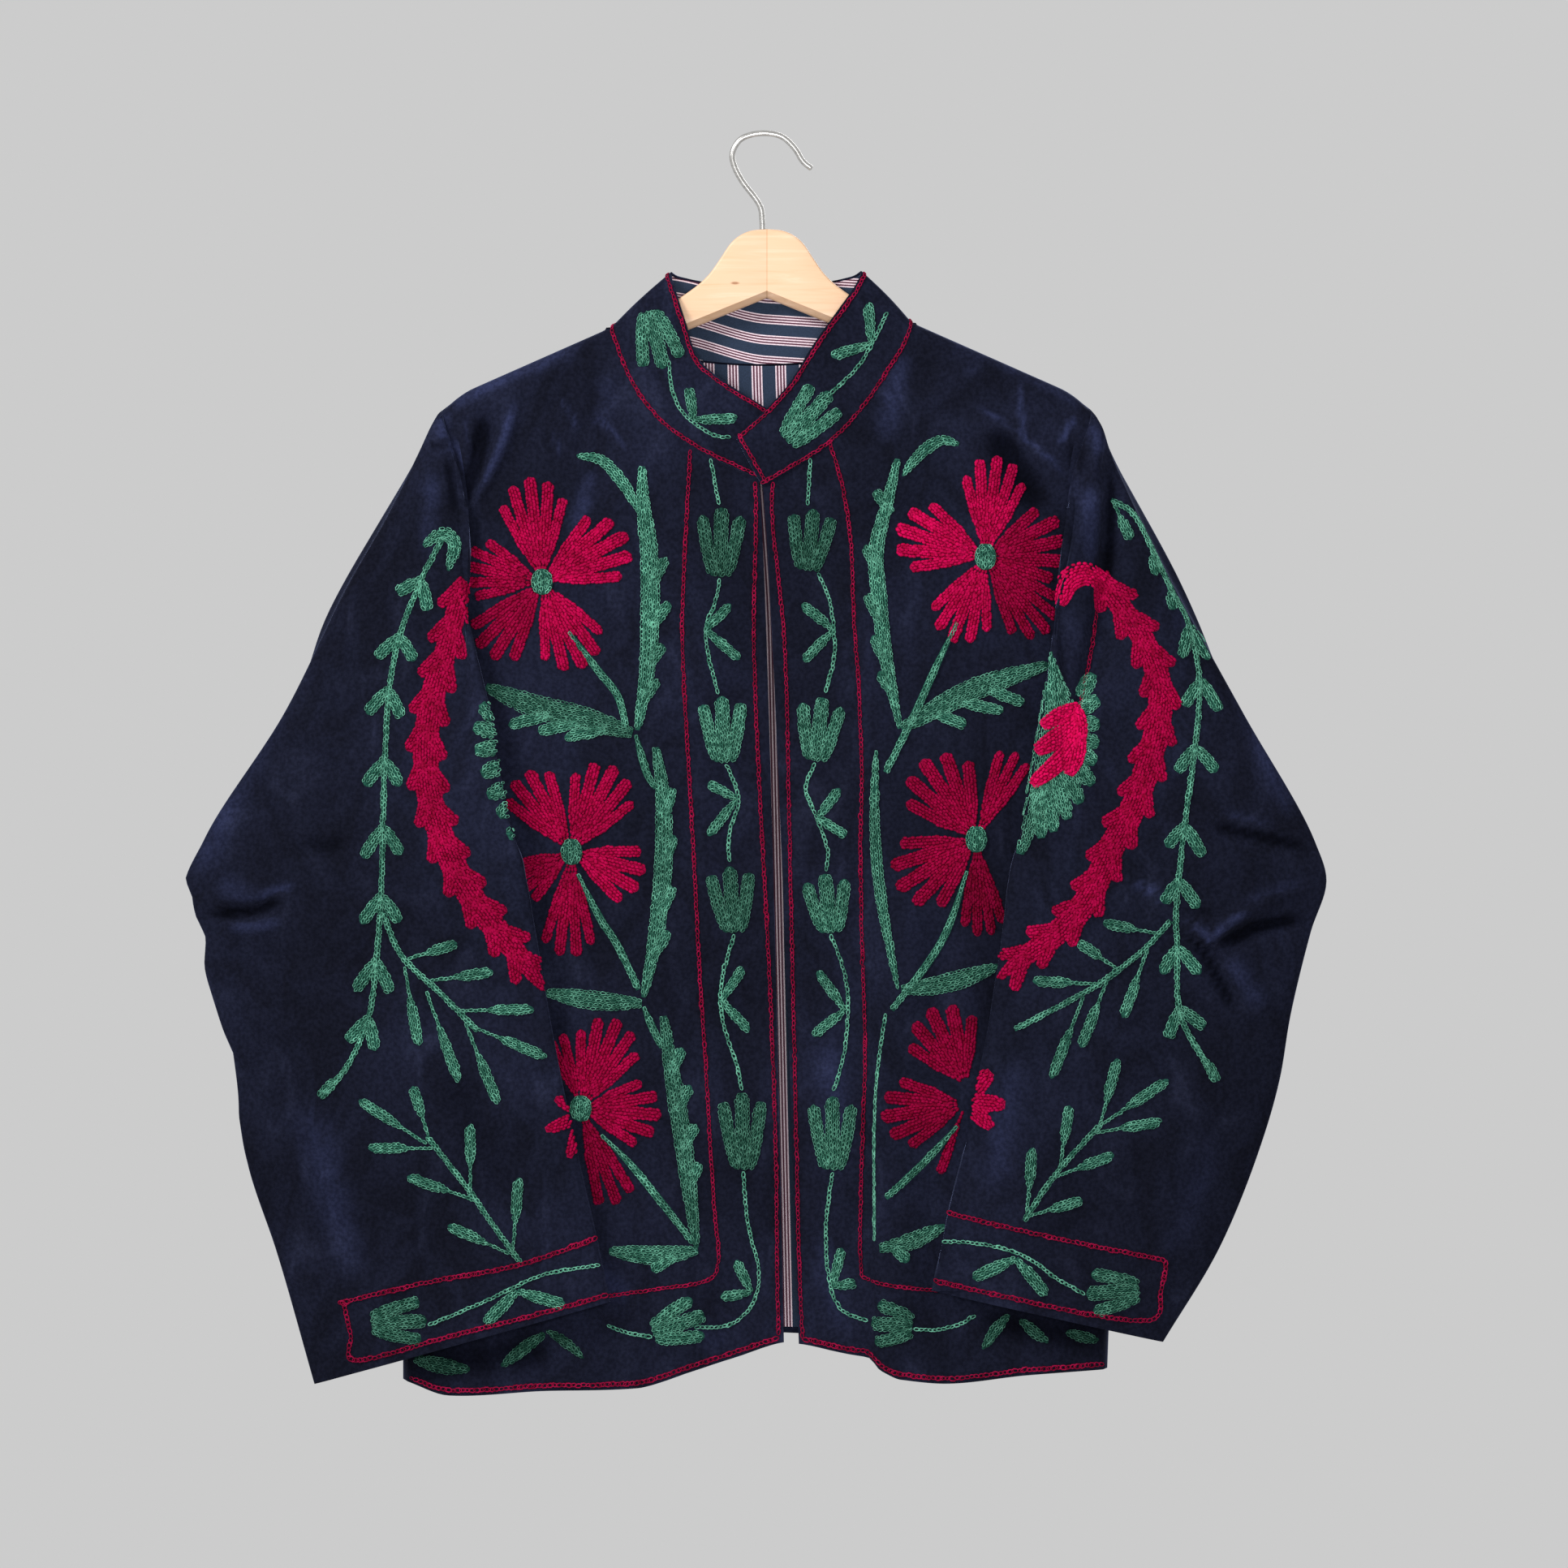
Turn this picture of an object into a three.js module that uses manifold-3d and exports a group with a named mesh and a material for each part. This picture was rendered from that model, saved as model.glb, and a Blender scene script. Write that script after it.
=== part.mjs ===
// Suzani jacket on a wooden hanger.
// Millimetres, +Z up, the front faces -Y and the wearer's left is at +X.
// The origin is the inner top of the hook's crook, where the hanger is held.
// Every cloth piece is a thin wall: a surface computed from the sizes below, closed by an inner copy.
import * as THREE from "three";
import { mergeVertices } from "three/addons/utils/BufferGeometryUtils.js";
import Module from "manifold-3d";

// ---------- driving dimensions ----------
const SEAM = 0.3; // gap between two pieces along a seam
const CURVED_SEAM = 0.9; // the same at the armholes, where the facets of the two sides differ
const NECK_SEAM = 1.1; // the same under the collar, whose wall turns inwards
const VELVET = 2; // wall of the velvet with its backing
const LINING = 0.9; // wall of the striped lining

// The shoulder line: a straight slope from the neck, rounding down at the tip.
const NECK_X = 97;
const NECK_Z = -122;
const SHOULDER_SLOPE = 0.445;
const TIP_X = 203;
const TIP_ROUND_FROM = 188;
const TIP_ROUND = 0.015;

// Depth of the body: the hanger's arms sweep forward, the cloth rounds over them and falls.
const SWEEP = 0.05;
const SWEEP_SOFT = 40;
const RIDGE = 9; // radius of the cloth over the hanger's arm
const FALL = { front: { deep: 24, reach: 110 }, back: { deep: 9, reach: 90 } };
const SIDE_POWER = 3.5; // how squarely front and back close at the side seam
const OPEN_WITHIN = 0.35; // share of the armhole's height over which it opens below the shoulder tip
const CLOSE_FROM = 0.75; // and from where it closes again towards the underarm
const ARMHOLE_SCOOP = { front: 26, back: 9 }; // how far the armhole curves in between tip and underarm
const ARMHOLE_OPEN = 0.55; // share of the body's depth that is left at the armhole

// Each half of the body: +1 is the wearer's left.
const HALVES = {
  left: {
    side: 1,
    underarm: { x: 233, z: -400 },
    hemX: 219,
    edge: { top: -3, drift: 26, power: 0.75 }, // the front edge's x, from neck to hem
    hem: [
      { x: 23, z: -777 },
      { x: 60, z: -785 },
      { x: 73, z: -790 },
      { x: 86, z: -798 },
      { x: 118, z: -801 },
      { x: 165, z: -796 },
      { x: 219, z: -793 },
    ],
    fold: { x: 73, high: 9, from: -400, full: -640, rise: 10, fade: 50 },
  },
  right: {
    side: -1,
    underarm: { x: 235, z: -400 },
    hemX: 234,
    edge: { top: -5, drift: 16, power: 0.7 },
    hem: [
      { x: -11, z: -775 },
      { x: 18, z: -784 },
      { x: 50, z: -794 },
      { x: 81, z: -804 },
      { x: 143, z: -806 },
      { x: 205, z: -809 },
      { x: 234, z: -800 },
    ],
    fold: { x: 52, high: 5, from: -600, full: -780, rise: 26, fade: 30 },
  },
};
const EDGE_TOP_Z = -226;
const EDGE_END_Z = -777;
const BACK_HEM = { middle: -772, side: -791, reach: 210 }; // z, and the x where it comes to the side's

// The stand collar: one row for each section round the neck, from the wearer's right front end,
// round the back, to the wearer's left front end. base is on the neck seam and top on the free edge;
// lift moves the section out from the neck, so that the left end laps over the right one.
const COLLAR = [
  { face: "front", x: -5, z: -222, topX: 2, topZ: -178, topY: -18, lift: -2.5 },
  { face: "front", x: -39, z: -206, topX: -26, topZ: -160, topY: -19, lift: -0.4 },
  { face: "front", x: -67, z: -187, topX: -44, topZ: -144, topY: -18, lift: 0 },
  { face: "front", x: -86, z: -163, topX: -52, topZ: -121, topY: -15, lift: 0 },
  { face: "front", x: -97, z: -138, topX: -58, topZ: -102, topY: -9, lift: 0 },
  { face: "ridge", x: -100, z: -123.3, topX: -62, topZ: -88, topY: 0, lift: 0 },
  { face: "back", x: -84, z: -127, topX: -56, topZ: -90, topY: 8, lift: 0 },
  { face: "back", x: -48, z: -136, topX: -34, topZ: -94, topY: 12, lift: 0 },
  { face: "back", x: -3, z: -139, topX: -1, topZ: -95, topY: 13, lift: 0 },
  { face: "back", x: 42, z: -136, topX: 32, topZ: -94, topY: 12, lift: 0 },
  { face: "back", x: 78, z: -127, topX: 54, topZ: -90, topY: 8, lift: 0 },
  { face: "ridge", x: 93, z: -120.2, topX: 61, topZ: -87, topY: 0, lift: 0 },
  { face: "front", x: 89, z: -136, topX: 56, topZ: -98, topY: -9, lift: 0 },
  { face: "front", x: 78, z: -154, topX: 47, topZ: -111, topY: -15, lift: 0 },
  { face: "front", x: 60, z: -180, topX: 30, topZ: -135, topY: -19, lift: 0 },
  { face: "front", x: 38, z: -201, topX: 11, topZ: -164, topY: -22, lift: 0.6 },
  { face: "front", x: -3, z: -226, topX: -20, topZ: -195, topY: -23, lift: 2 },
];
const COLLAR_BOW = 1.5; // the band's outward bow between its edges
const COLLAR_LINING = { from: 0.07, to: 0.97, end: 0.25 }; // up the band, and rows left bare at its two ends
const RIGHT_RIDGE = 5; // rows of the table that lie on the two shoulder lines
const LEFT_RIDGE = 11;

// The sleeves: one row for each ring below the armhole seam. The outer fold (ox, oy, oz) and the
// inner fold (ix, iy, iz) are the ring's two ends; the front layer leans inwards by lean and stands
// front ahead of the line between them, and the back layer spreads outwards and lies rear behind.
const SLEEVE_RINGS = {
  right: [
    { ox: 211, oz: -180, oy: -9, ix: 239, iz: -409, iy: -27, lean: 31, front: 14, spread: 4, rear: 22 },
    { ox: 215, oz: -187, oy: -9, ix: 224, iz: -416, iy: -37, lean: 27, front: 9, spread: 17, rear: 29 },
    { ox: 224, oz: -205, oy: -10, ix: 194, iz: -427, iy: -46, lean: 18, front: 13, spread: 38, rear: 33 },
    { ox: 245, oz: -247, oy: -12, ix: 170, iz: -440, iy: -49, lean: 19, front: 12, spread: 56, rear: 29 },
    { ox: 269, oz: -289, oy: -14, ix: 159, iz: -457, iy: -50, lean: 12, front: 16, spread: 58, rear: 26 },
    { ox: 310, oz: -372, oy: -18, ix: 153, iz: -480, iy: -50, lean: 6, front: 15, spread: 34, rear: 18 },
    { ox: 362, oz: -455, oy: -22, ix: 149, iz: -503, iy: -49, lean: 0, front: 14, spread: 10, rear: 12 },
    { ox: 371, oz: -480, oy: -24, ix: 146, iz: -520, iy: -49, lean: 0, front: 13, spread: 4, rear: 10 },
    { ox: 360, oz: -520, oy: -25, ix: 142, iz: -545, iy: -48, lean: 0, front: 13, spread: 0, rear: 10 },
    { ox: 351, oz: -565, oy: -26, ix: 137, iz: -574, iy: -48, lean: 0, front: 13, spread: 0, rear: 10 },
    { ox: 339, oz: -615, oy: -27, ix: 130, iz: -610, iy: -48, lean: 0, front: 12, spread: 0, rear: 9 },
    { ox: 333, oz: -660, oy: -28, ix: 121, iz: -652, iy: -48, lean: 0, front: 12, spread: 0, rear: 9 },
    { ox: 314, oz: -718, oy: -28, ix: 111, iz: -695, iy: -48, lean: 0, front: 11, spread: 0, rear: 9 },
    { ox: 290, oz: -802, oy: -28, ix: 100, iz: -748, iy: -48, lean: 0, front: 10, spread: 0, rear: 9 },
  ],
  left: [
    { ox: 211, oz: -181, oy: -9, ix: 237, iz: -409, iy: -27, lean: 31, front: 14, spread: 4, rear: 22 },
    { ox: 215, oz: -188, oy: -9, ix: 224, iz: -416, iy: -37, lean: 25, front: 8, spread: 17, rear: 29 },
    { ox: 221, oz: -205, oy: -10, ix: 195, iz: -427, iy: -46, lean: 17, front: 14, spread: 38, rear: 33 },
    { ox: 240, oz: -247, oy: -12, ix: 173, iz: -440, iy: -49, lean: 16, front: 12, spread: 54, rear: 29 },
    { ox: 261, oz: -289, oy: -14, ix: 164, iz: -457, iy: -50, lean: 11, front: 16, spread: 56, rear: 26 },
    { ox: 306, oz: -372, oy: -18, ix: 157, iz: -480, iy: -50, lean: 6, front: 15, spread: 34, rear: 18 },
    { ox: 352, oz: -455, oy: -22, ix: 153, iz: -503, iy: -49, lean: 0, front: 14, spread: 10, rear: 12 },
    { ox: 359, oz: -478, oy: -24, ix: 150, iz: -520, iy: -49, lean: 0, front: 13, spread: 4, rear: 10 },
    { ox: 349, oz: -512, oy: -25, ix: 146, iz: -542, iy: -48, lean: 0, front: 13, spread: 0, rear: 10 },
    { ox: 336, oz: -565, oy: -26, ix: 141, iz: -574, iy: -48, lean: 0, front: 13, spread: 0, rear: 10 },
    { ox: 329, oz: -606, oy: -27, ix: 134, iz: -608, iy: -48, lean: 0, front: 12, spread: 0, rear: 9 },
    { ox: 318, oz: -645, oy: -28, ix: 127, iz: -646, iy: -48, lean: 0, front: 12, spread: 0, rear: 9 },
    { ox: 290, oz: -715, oy: -28, ix: 115, iz: -694, iy: -48, lean: 0, front: 11, spread: 0, rear: 9 },
    { ox: 254, oz: -775, oy: -28, ix: 106, iz: -741, iy: -48, lean: 0, front: 10, spread: 0, rear: 9 },
  ],
};
const SLEEVE_POWER = 2.4; // how squarely a sleeve's ring turns at its two folds
const PLEAT_RESTS = [4, 7]; // least space between the front's face and the two rings hidden in the pleat
const REST = { front: 11, back: 4 }; // the same for the two layers of every other ring
const REST_REACH = { front: 36, back: 4 }; // how far past the body's edge this still holds
const PASS_OUTSIDE = { least: 4, until: 6, within: 26, released: 60 }; // see passOutside
const SLEEVE_LIP = 7; // length over which a sleeve still runs on from the armhole
const LIP_SAMPLE = 4; // its direction is that of the body's last 4 mm,
const LIP_FLATTEN = 0.5; // half as steep to the front and back,
const LIP_DROP = 3; // and lower at the tip and the underarm
const SLEEVE_TURN = 12; // how far its front then turns forward, round the body's edge
const SEAM_RINGS = 3; // rings before the table's first row: on the armhole, at the lip, and turned forward

// The striped lining that shows inside the neck and between the two fronts.
const LINING_FROM = 0.9; // rows of the collar's table between each shoulder line and the lining
const LINING_ABOVE_HEM = 14;
const LINING_BEHIND = 0.6; // from the back panel's inner face

// The hanger: a bar of two wooden arms, one row for each section from the middle to the tip.
const BAR = [
  { x: 0, top: -60, bottom: -104, half: 6 },
  { x: 10, top: -61, bottom: -108.1, half: 6 },
  { x: 18, top: -64.5, bottom: -111.4, half: 6 },
  { x: 24, top: -70, bottom: -113.8, half: 6 },
  { x: 30, top: -79, bottom: -116.3, half: 6 },
  { x: 38, top: -90, bottom: -119.6, half: 6 },
  { x: 49, top: -99.6, bottom: -124.1, half: 6 },
  { x: 70, top: -113, bottom: -132.7, half: 5.4 },
  { x: 97, top: -127, bottom: -143.8, half: 5 },
  { x: 150, top: -149.2, bottom: -165.5, half: 5 },
  { x: 188, top: -166.4, bottom: -181, half: 5 },
  { x: 198, top: -173, bottom: -183.5, half: 3.6 },
];
const BAR_FORWARD = 1.6; // the bar's middle lies this far behind the straight sweep
const BAR_CORNER = 0.55; // share of a section's smaller half that its corners round off
const HOOK_WIRE = 1.9; // radius of the hook's wire
const HOOK_BORE = 2.3; // radius of its hole in the bar
const HOOK_SET = 14; // how deep it is set
const HOOK_PATH = [
  [-3, -60 - HOOK_SET],
  [-3, -66],
  [-3, -55],
  [-5, -44],
  [-16, -29],
  [-21.5, -18],
  [-22, -10],
  [-17.5, -2.5],
  [-10, 1],
  [0, HOOK_WIRE],
  [10, -0.5],
  [18, -8],
  [23, -16],
  [29, -21],
];

// ---------- small tools ----------
const mix = (a, b, t) => a + (b - a) * t;
const clamp01 = (t) => Math.min(1, Math.max(0, t));
const smooth = (t) => clamp01(t) ** 2 * (3 - 2 * clamp01(t));
const steps = (count) => Array.from({ length: count + 1 }, (_, i) => i / count);
const halfAt = (x) => (x >= 0 ? HALVES.left : HALVES.right);

// A smooth curve through the values of one column, read at a row number that may lie between rows.
function readRow(rows, column, at) {
  const last = rows.length - 1;
  const i = Math.min(Math.floor(clamp01(at / last) * last), last - 1);
  const value = (k) => rows[Math.min(last, Math.max(0, k))][column];
  const t = at - i;
  const [a, b, c, d] = [value(i - 1), value(i), value(i + 1), value(i + 2)];
  return b + 0.5 * t * (c - a + t * (2 * a - 5 * b + 4 * c - d + t * (3 * (b - c) + d - a)));
}

// The z of a hem table where it passes distance x from the centre line.
function readHem(rows, x) {
  const last = rows.length - 1;
  const found = rows.findIndex((row) => row.x >= x);
  const i = found < 0 ? last : Math.max(1, found);
  const t = (x - rows[i - 1].x) / (rows[i].x - rows[i - 1].x);
  return readRow(rows, "z", i - 1 + clamp01(t));
}

// ---------- the body's form ----------
const midY = (x) => -SWEEP * (Math.hypot(x, SWEEP_SOFT) - SWEEP_SOFT);

function shoulderZ(x) {
  const reach = Math.abs(x);
  return NECK_Z - SHOULDER_SLOPE * (reach - NECK_X) - TIP_ROUND * Math.max(0, reach - TIP_ROUND_FROM) ** 2;
}
const TIP_Z = shoulderZ(TIP_X);

// Distance from the centre line to the armhole's edge, and below it to the side seam.
function bodyEdge(half, z, face) {
  const { underarm, hemX } = half;
  const below = (underarm.z - z) / (underarm.z - half.hem.at(-1).z);
  if (below > 0) return mix(underarm.x, hemX, Math.min(below, 1));
  const t = clamp01((TIP_Z - z) / (TIP_Z - underarm.z));
  return mix(TIP_X, underarm.x, t) - ARMHOLE_SCOOP[face] * Math.sin(Math.PI * t);
}

// Share of the body's depth at a place: full in the middle, none at the side seam.
function closing(x, z, face) {
  const half = halfAt(x);
  const share = Math.min(1, Math.abs(x) / bodyEdge(half, z, face));
  const down = clamp01((TIP_Z - z) / (TIP_Z - half.underarm.z));
  const open = mix(1, ARMHOLE_OPEN, smooth(down / OPEN_WITHIN)) * Math.sqrt(1 - down ** 3);
  const rounded = (1 - share ** SIDE_POWER) ** (1 / SIDE_POWER);
  const cut = 1 - (1 - open) * share ** 5;
  return mix(cut, rounded, smooth((down - CLOSE_FROM) / (1 - CLOSE_FROM)));
}

// How far the cloth has come out from the hanger's plane, for its drop below the shoulder line.
function fall(x, z, face) {
  const { deep, reach } = FALL[face];
  const drop = Math.max(0, shoulderZ(x) - z);
  const round = RIDGE * Math.sqrt(1 - (1 - Math.min(drop / RIDGE, 1)) ** 2);
  return (round + deep * (1 - Math.exp(-drop / reach))) * closing(x, z, face);
}

// The long fold of each front: steep towards the centre line, fading slowly outwards.
function foldOut(x, z) {
  const { fold } = halfAt(x);
  const past = Math.abs(x) - fold.x;
  const grown = smooth((fold.from - z) / (fold.from - fold.full));
  const shape = past < 0 ? smooth(1 + past / fold.rise) : Math.exp(-((past / fold.fade) ** 1.5));
  return fold.high * grown * shape;
}

const frontY = (x, z) => midY(x) - SEAM / 2 - fall(x, z, "front") - foldOut(x, z) * closing(x, z, "front");
const backY = (x, z) => midY(x) + SEAM / 2 + fall(x, z, "back");

function frontEdgeX(half, z) {
  const down = clamp01((EDGE_TOP_Z - z) / (EDGE_TOP_Z - EDGE_END_Z));
  return half.edge.top + half.edge.drift * down ** half.edge.power;
}

// ---------- the collar and the neck seam ----------
// A point of the neck seam, at a row number of the collar's table.
function neckPoint(at) {
  const x = readRow(COLLAR, "x", at);
  const z = readRow(COLLAR, "z", at);
  const isBack = at > RIGHT_RIDGE && at < LEFT_RIDGE;
  const isRidge = at === RIGHT_RIDGE || at === LEFT_RIDGE;
  const y = isRidge ? midY(x) : isBack ? backY(x, z) : frontY(x, z);
  return new THREE.Vector3(x, y, z);
}

function collarSurface(at, up) {
  const base = neckPoint(at);
  const top = new THREE.Vector3(
    readRow(COLLAR, "topX", at),
    readRow(COLLAR, "topY", at),
    readRow(COLLAR, "topZ", at),
  );
  const out = base.clone().sub(new THREE.Vector3(0, 0, base.z)).normalize();
  const lift = readRow(COLLAR, "lift", at) + COLLAR_BOW * Math.sin(Math.PI * up);
  const gap = NECK_SEAM / base.distanceTo(top);
  return base.lerp(top, mix(gap, 1, up)).addScaledVector(out, lift);
}

// ---------- the panels ----------
// A column of a panel starts at a top point and runs down at a constant share of the panel's width,
// slowly at first, so that its short top rows follow the round of the shoulder.
const HANG_SOFT = 0.12;
const hang = (down) => ((1 + HANG_SOFT) * down * down) / (down + HANG_SOFT);
const NECK_PART = 0.6; // share of a front's columns that start on the neck seam, before the shoulder's

// Top of the column that starts this share of the way along the shoulder, from the collar to the tip.
function shoulderPoint(ridgeX, side, share) {
  const x = side * mix(ridgeX, TIP_X, Math.sin((Math.PI / 2) * share));
  return new THREE.Vector3(x, 0, shoulderZ(x));
}

function panelPoint(top, across, down, edges, face) {
  const { inner, outer, hem } = edges;
  const endX = mix(inner(hem), outer(hem), across);
  const z = mix(top.z, edges.hemZ(endX), hang(down));
  const x = down === 0 ? top.x : mix(inner(z), outer(z), across);
  return new THREE.Vector3(x, face(x, z), z);
}

function frontSurface(half) {
  const { side } = half;
  const ridge = side > 0 ? LEFT_RIDGE : RIGHT_RIDGE;
  const end = side > 0 ? COLLAR.length - 1 : 0;
  const ridgeX = Math.abs(COLLAR[ridge].x);
  const edges = {
    inner: (z) => frontEdgeX(half, z),
    outer: (z) => side * bodyEdge(half, z, "front"),
    hem: half.hem.at(-1).z,
    hemZ: (x) => readHem(half.hem, side * x),
  };
  return (u, v) => {
    const top =
      u < NECK_PART
        ? neckPoint(mix(end, ridge, u / NECK_PART))
        : shoulderPoint(ridgeX, side, (u - NECK_PART) / (1 - NECK_PART));
    const inner = edges.inner(top.z);
    const across = clamp01((top.x - inner) / (edges.outer(top.z) - inner));
    return panelPoint(top, across, v, edges, frontY);
  };
}

const backHemZ = (x) => mix(BACK_HEM.middle, BACK_HEM.side, smooth(Math.abs(x) / BACK_HEM.reach));

// u runs from -1 at the wearer's right side to +1 at the left.
function backSurface(u, v) {
  const side = u < 0 ? -1 : 1;
  const ridgeX = side > 0 ? COLLAR[LEFT_RIDGE].x : -COLLAR[RIGHT_RIDGE].x;
  const reach = Math.abs(u);
  const top =
    reach < NECK_PART
      ? neckPoint(mix(RIGHT_RIDGE, LEFT_RIDGE, (u / NECK_PART + 1) / 2))
      : shoulderPoint(ridgeX, side, (reach - NECK_PART) / (1 - NECK_PART));
  const edges = {
    inner: (z) => -bodyEdge(HALVES.right, z, "back"),
    outer: (z) => bodyEdge(HALVES.left, z, "back"),
    hem: BACK_HEM.side,
    hemZ: backHemZ,
  };
  const inner = edges.inner(top.z);
  const across = clamp01((top.x - inner) / (edges.outer(top.z) - inner));
  return panelPoint(top, across, v, edges, backY);
}

// The lining hangs behind the wearer, from the neck seam to the hem, inside the back panel.
function liningSurface(u, v) {
  const top = neckPoint(mix(RIGHT_RIDGE + LINING_FROM, LEFT_RIDGE - LINING_FROM, u));
  const z = mix(top.z - NECK_SEAM, backHemZ(top.x) + LINING_ABOVE_HEM, v);
  return new THREE.Vector3(top.x, backY(top.x, z) - VELVET - LINING_BEHIND, z);
}

// ---------- the sleeves ----------
// The armhole at an angle: 0 at the shoulder tip, through the front, half a turn at the underarm.
function armholePoint(half, angle, inset = 0) {
  const z = mix(TIP_Z, half.underarm.z, (1 - Math.cos(angle)) / 2);
  const isEnd = Math.abs(Math.sin(angle)) < 1e-6;
  const isFront = Math.sin(angle) > 0;
  const x = half.side * (bodyEdge(half, z, isFront ? "front" : "back") - inset);
  const y = isFront ? frontY(x, z) : backY(x, z);
  return new THREE.Vector3(x, isEnd ? midY(x) : y, z);
}

// The way in which the cloth leaves the armhole.
function armholeRun(half, angle) {
  const run = armholePoint(half, angle).sub(armholePoint(half, angle, LIP_SAMPLE));
  run.y *= LIP_FLATTEN;
  run.z -= mix(LIP_DROP, 0, Math.abs(Math.sin(angle)));
  return run.normalize();
}

// Share of the turn forward: all at the underarm, none at the shoulder tip and the back.
const FULL_TURN_AT = 0.8 * Math.PI;
function turnShare(angle) {
  return smooth(angle < Math.PI ? angle / FULL_TURN_AT : 3 - (2 * angle) / Math.PI);
}

// Moves a point of a sleeve's back layer out past the body's edge, and lets it go below the underarm.
function passOutside(half, point) {
  const { least, until, within, released } = PASS_OUTSIDE;
  const below = half.underarm.z - until - point.z;
  const clear = bodyEdge(half, point.z, "back") + least - released * smooth(below / within);
  point.x = half.side * Math.max(clear, Math.abs(point.x));
}

// Brings a sleeve's point forward until it clears the front's face, also a little past its edge.
function clearOfFront(half, point, rest, reach) {
  const edge = bodyEdge(half, point.z, "front");
  const past = Math.abs(point.x) - edge;
  const onFront = half.side * Math.min(Math.abs(point.x), edge - SEAM);
  const limit = frontY(onFront, point.z) - rest;
  const released = smooth((past - reach / 4) / (reach - reach / 4));
  point.y = mix(Math.min(point.y, limit), point.y, released);
}

function sleeveRing(half, rows, ring, angle) {
  if (ring < SEAM_RINGS) {
    const point = armholePoint(half, angle);
    point.addScaledVector(armholeRun(half, angle), ring === 0 ? CURVED_SEAM : SLEEVE_LIP);
    if (ring === SEAM_RINGS - 1) point.y -= SLEEVE_TURN * turnShare(angle);
    return point;
  }
  const row = rows[ring - SEAM_RINGS];
  const outer = new THREE.Vector3(row.ox, row.oy, row.oz);
  const inner = new THREE.Vector3(row.ix, row.iy, row.iz);
  const power = 2 / SLEEVE_POWER;
  const [cosine, sine] = [Math.cos(angle), Math.sin(angle)];
  const along = Math.sign(cosine) * Math.abs(cosine) ** power;
  const bulge = Math.abs(sine) ** power;
  const point = outer.clone().add(inner).multiplyScalar(0.5);
  point.addScaledVector(outer.clone().sub(inner).multiplyScalar(0.5), along);
  const isFront = sine > 0;
  point.x += (isFront ? -row.lean : row.spread) * sine * sine;
  point.y += (isFront ? -row.front : row.rear) * bulge;
  point.x *= half.side;
  if (isFront) clearOfFront(half, point, PLEAT_RESTS[ring - SEAM_RINGS] ?? REST.front, REST_REACH.front);
  else {
    passOutside(half, point);
    clearOfFront(half, point, REST.back, REST_REACH.back);
  }
  return point;
}

// ---------- solids ----------
function geometryOf(points, triangles) {
  const geometry = new THREE.BufferGeometry();
  geometry.setAttribute("position", new THREE.Float32BufferAttribute(points.flatMap((p) => p.toArray()), 3));
  geometry.setIndex(triangles.flat());
  return geometry;
}

// Outward unit normals of a grid of points, from the neighbours along and across.
function gridNormals(grid, around, flip) {
  const rows = grid.length;
  const columns = grid[0].length;
  const pick = (r, c) => grid[r][around ? (c + columns) % columns : Math.min(columns - 1, Math.max(0, c))];
  return grid.map((line, r) =>
    line.map((_, c) => {
      const across = pick(r, c + 1).clone().sub(pick(r, c - 1));
      const down = pick(Math.min(rows - 1, r + 1), c).clone().sub(pick(Math.max(0, r - 1), c));
      return across.cross(down).normalize().multiplyScalar(flip ? -1 : 1);
    }),
  );
}

// A closed wall: the grid's own face outside, and a copy moved in by the thickness. keep may hold the
// copy's points on their own side of a seam.
function wall(grid, { thick, inset = 0, around = false, flip = false, keep = () => {} }) {
  const normals = gridNormals(grid, around, flip);
  const rows = grid.length;
  const columns = grid[0].length;
  const points = [];
  for (const depth of [inset, inset + thick]) {
    grid.forEach((line, r) =>
      line.forEach((point, c) => {
        const moved = point.clone().addScaledVector(normals[r][c], -depth);
        keep(moved, r, c);
        points.push(moved);
      }),
    );
  }
  const outer = (r, c) => r * columns + (c % columns);
  const inner = (r, c) => rows * columns + outer(r, c);
  const triangles = [];
  const quad = (a, b, c, d) => triangles.push(flip ? [a, c, b] : [a, b, c], flip ? [a, d, c] : [a, c, d]);
  const lastColumn = around ? columns : columns - 1;
  for (let r = 0; r < rows - 1; r += 1) {
    for (let c = 0; c < lastColumn; c += 1) {
      quad(outer(r, c), outer(r, c + 1), outer(r + 1, c + 1), outer(r + 1, c));
      quad(inner(r, c), inner(r + 1, c), inner(r + 1, c + 1), inner(r, c + 1));
    }
    if (!around) {
      quad(outer(r, 0), outer(r + 1, 0), inner(r + 1, 0), inner(r, 0));
      const end = columns - 1;
      quad(outer(r + 1, end), outer(r, end), inner(r, end), inner(r + 1, end));
    }
  }
  for (let c = 0; c < lastColumn; c += 1) {
    quad(outer(0, c + 1), outer(0, c), inner(0, c), inner(0, c + 1));
    quad(outer(rows - 1, c), outer(rows - 1, c + 1), inner(rows - 1, c + 1), inner(rows - 1, c));
  }
  return geometryOf(points, triangles);
}

// A closed loft through rings of equal length, with flat ends.
function loft(rings) {
  const count = rings[0].length;
  const points = rings.flat();
  const triangles = [];
  for (let r = 0; r < rings.length - 1; r += 1) {
    for (let c = 0; c < count; c += 1) {
      const a = r * count + c;
      const b = r * count + ((c + 1) % count);
      triangles.push([a, b, b + count], [a, b + count, a + count]);
    }
  }
  const last = (rings.length - 1) * count;
  for (let c = 1; c < count - 1; c += 1) triangles.push([0, c + 1, c], [last, last + c, last + c + 1]);
  return geometryOf(points, triangles);
}

const wasm = await Module();
wasm.setup();

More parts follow.
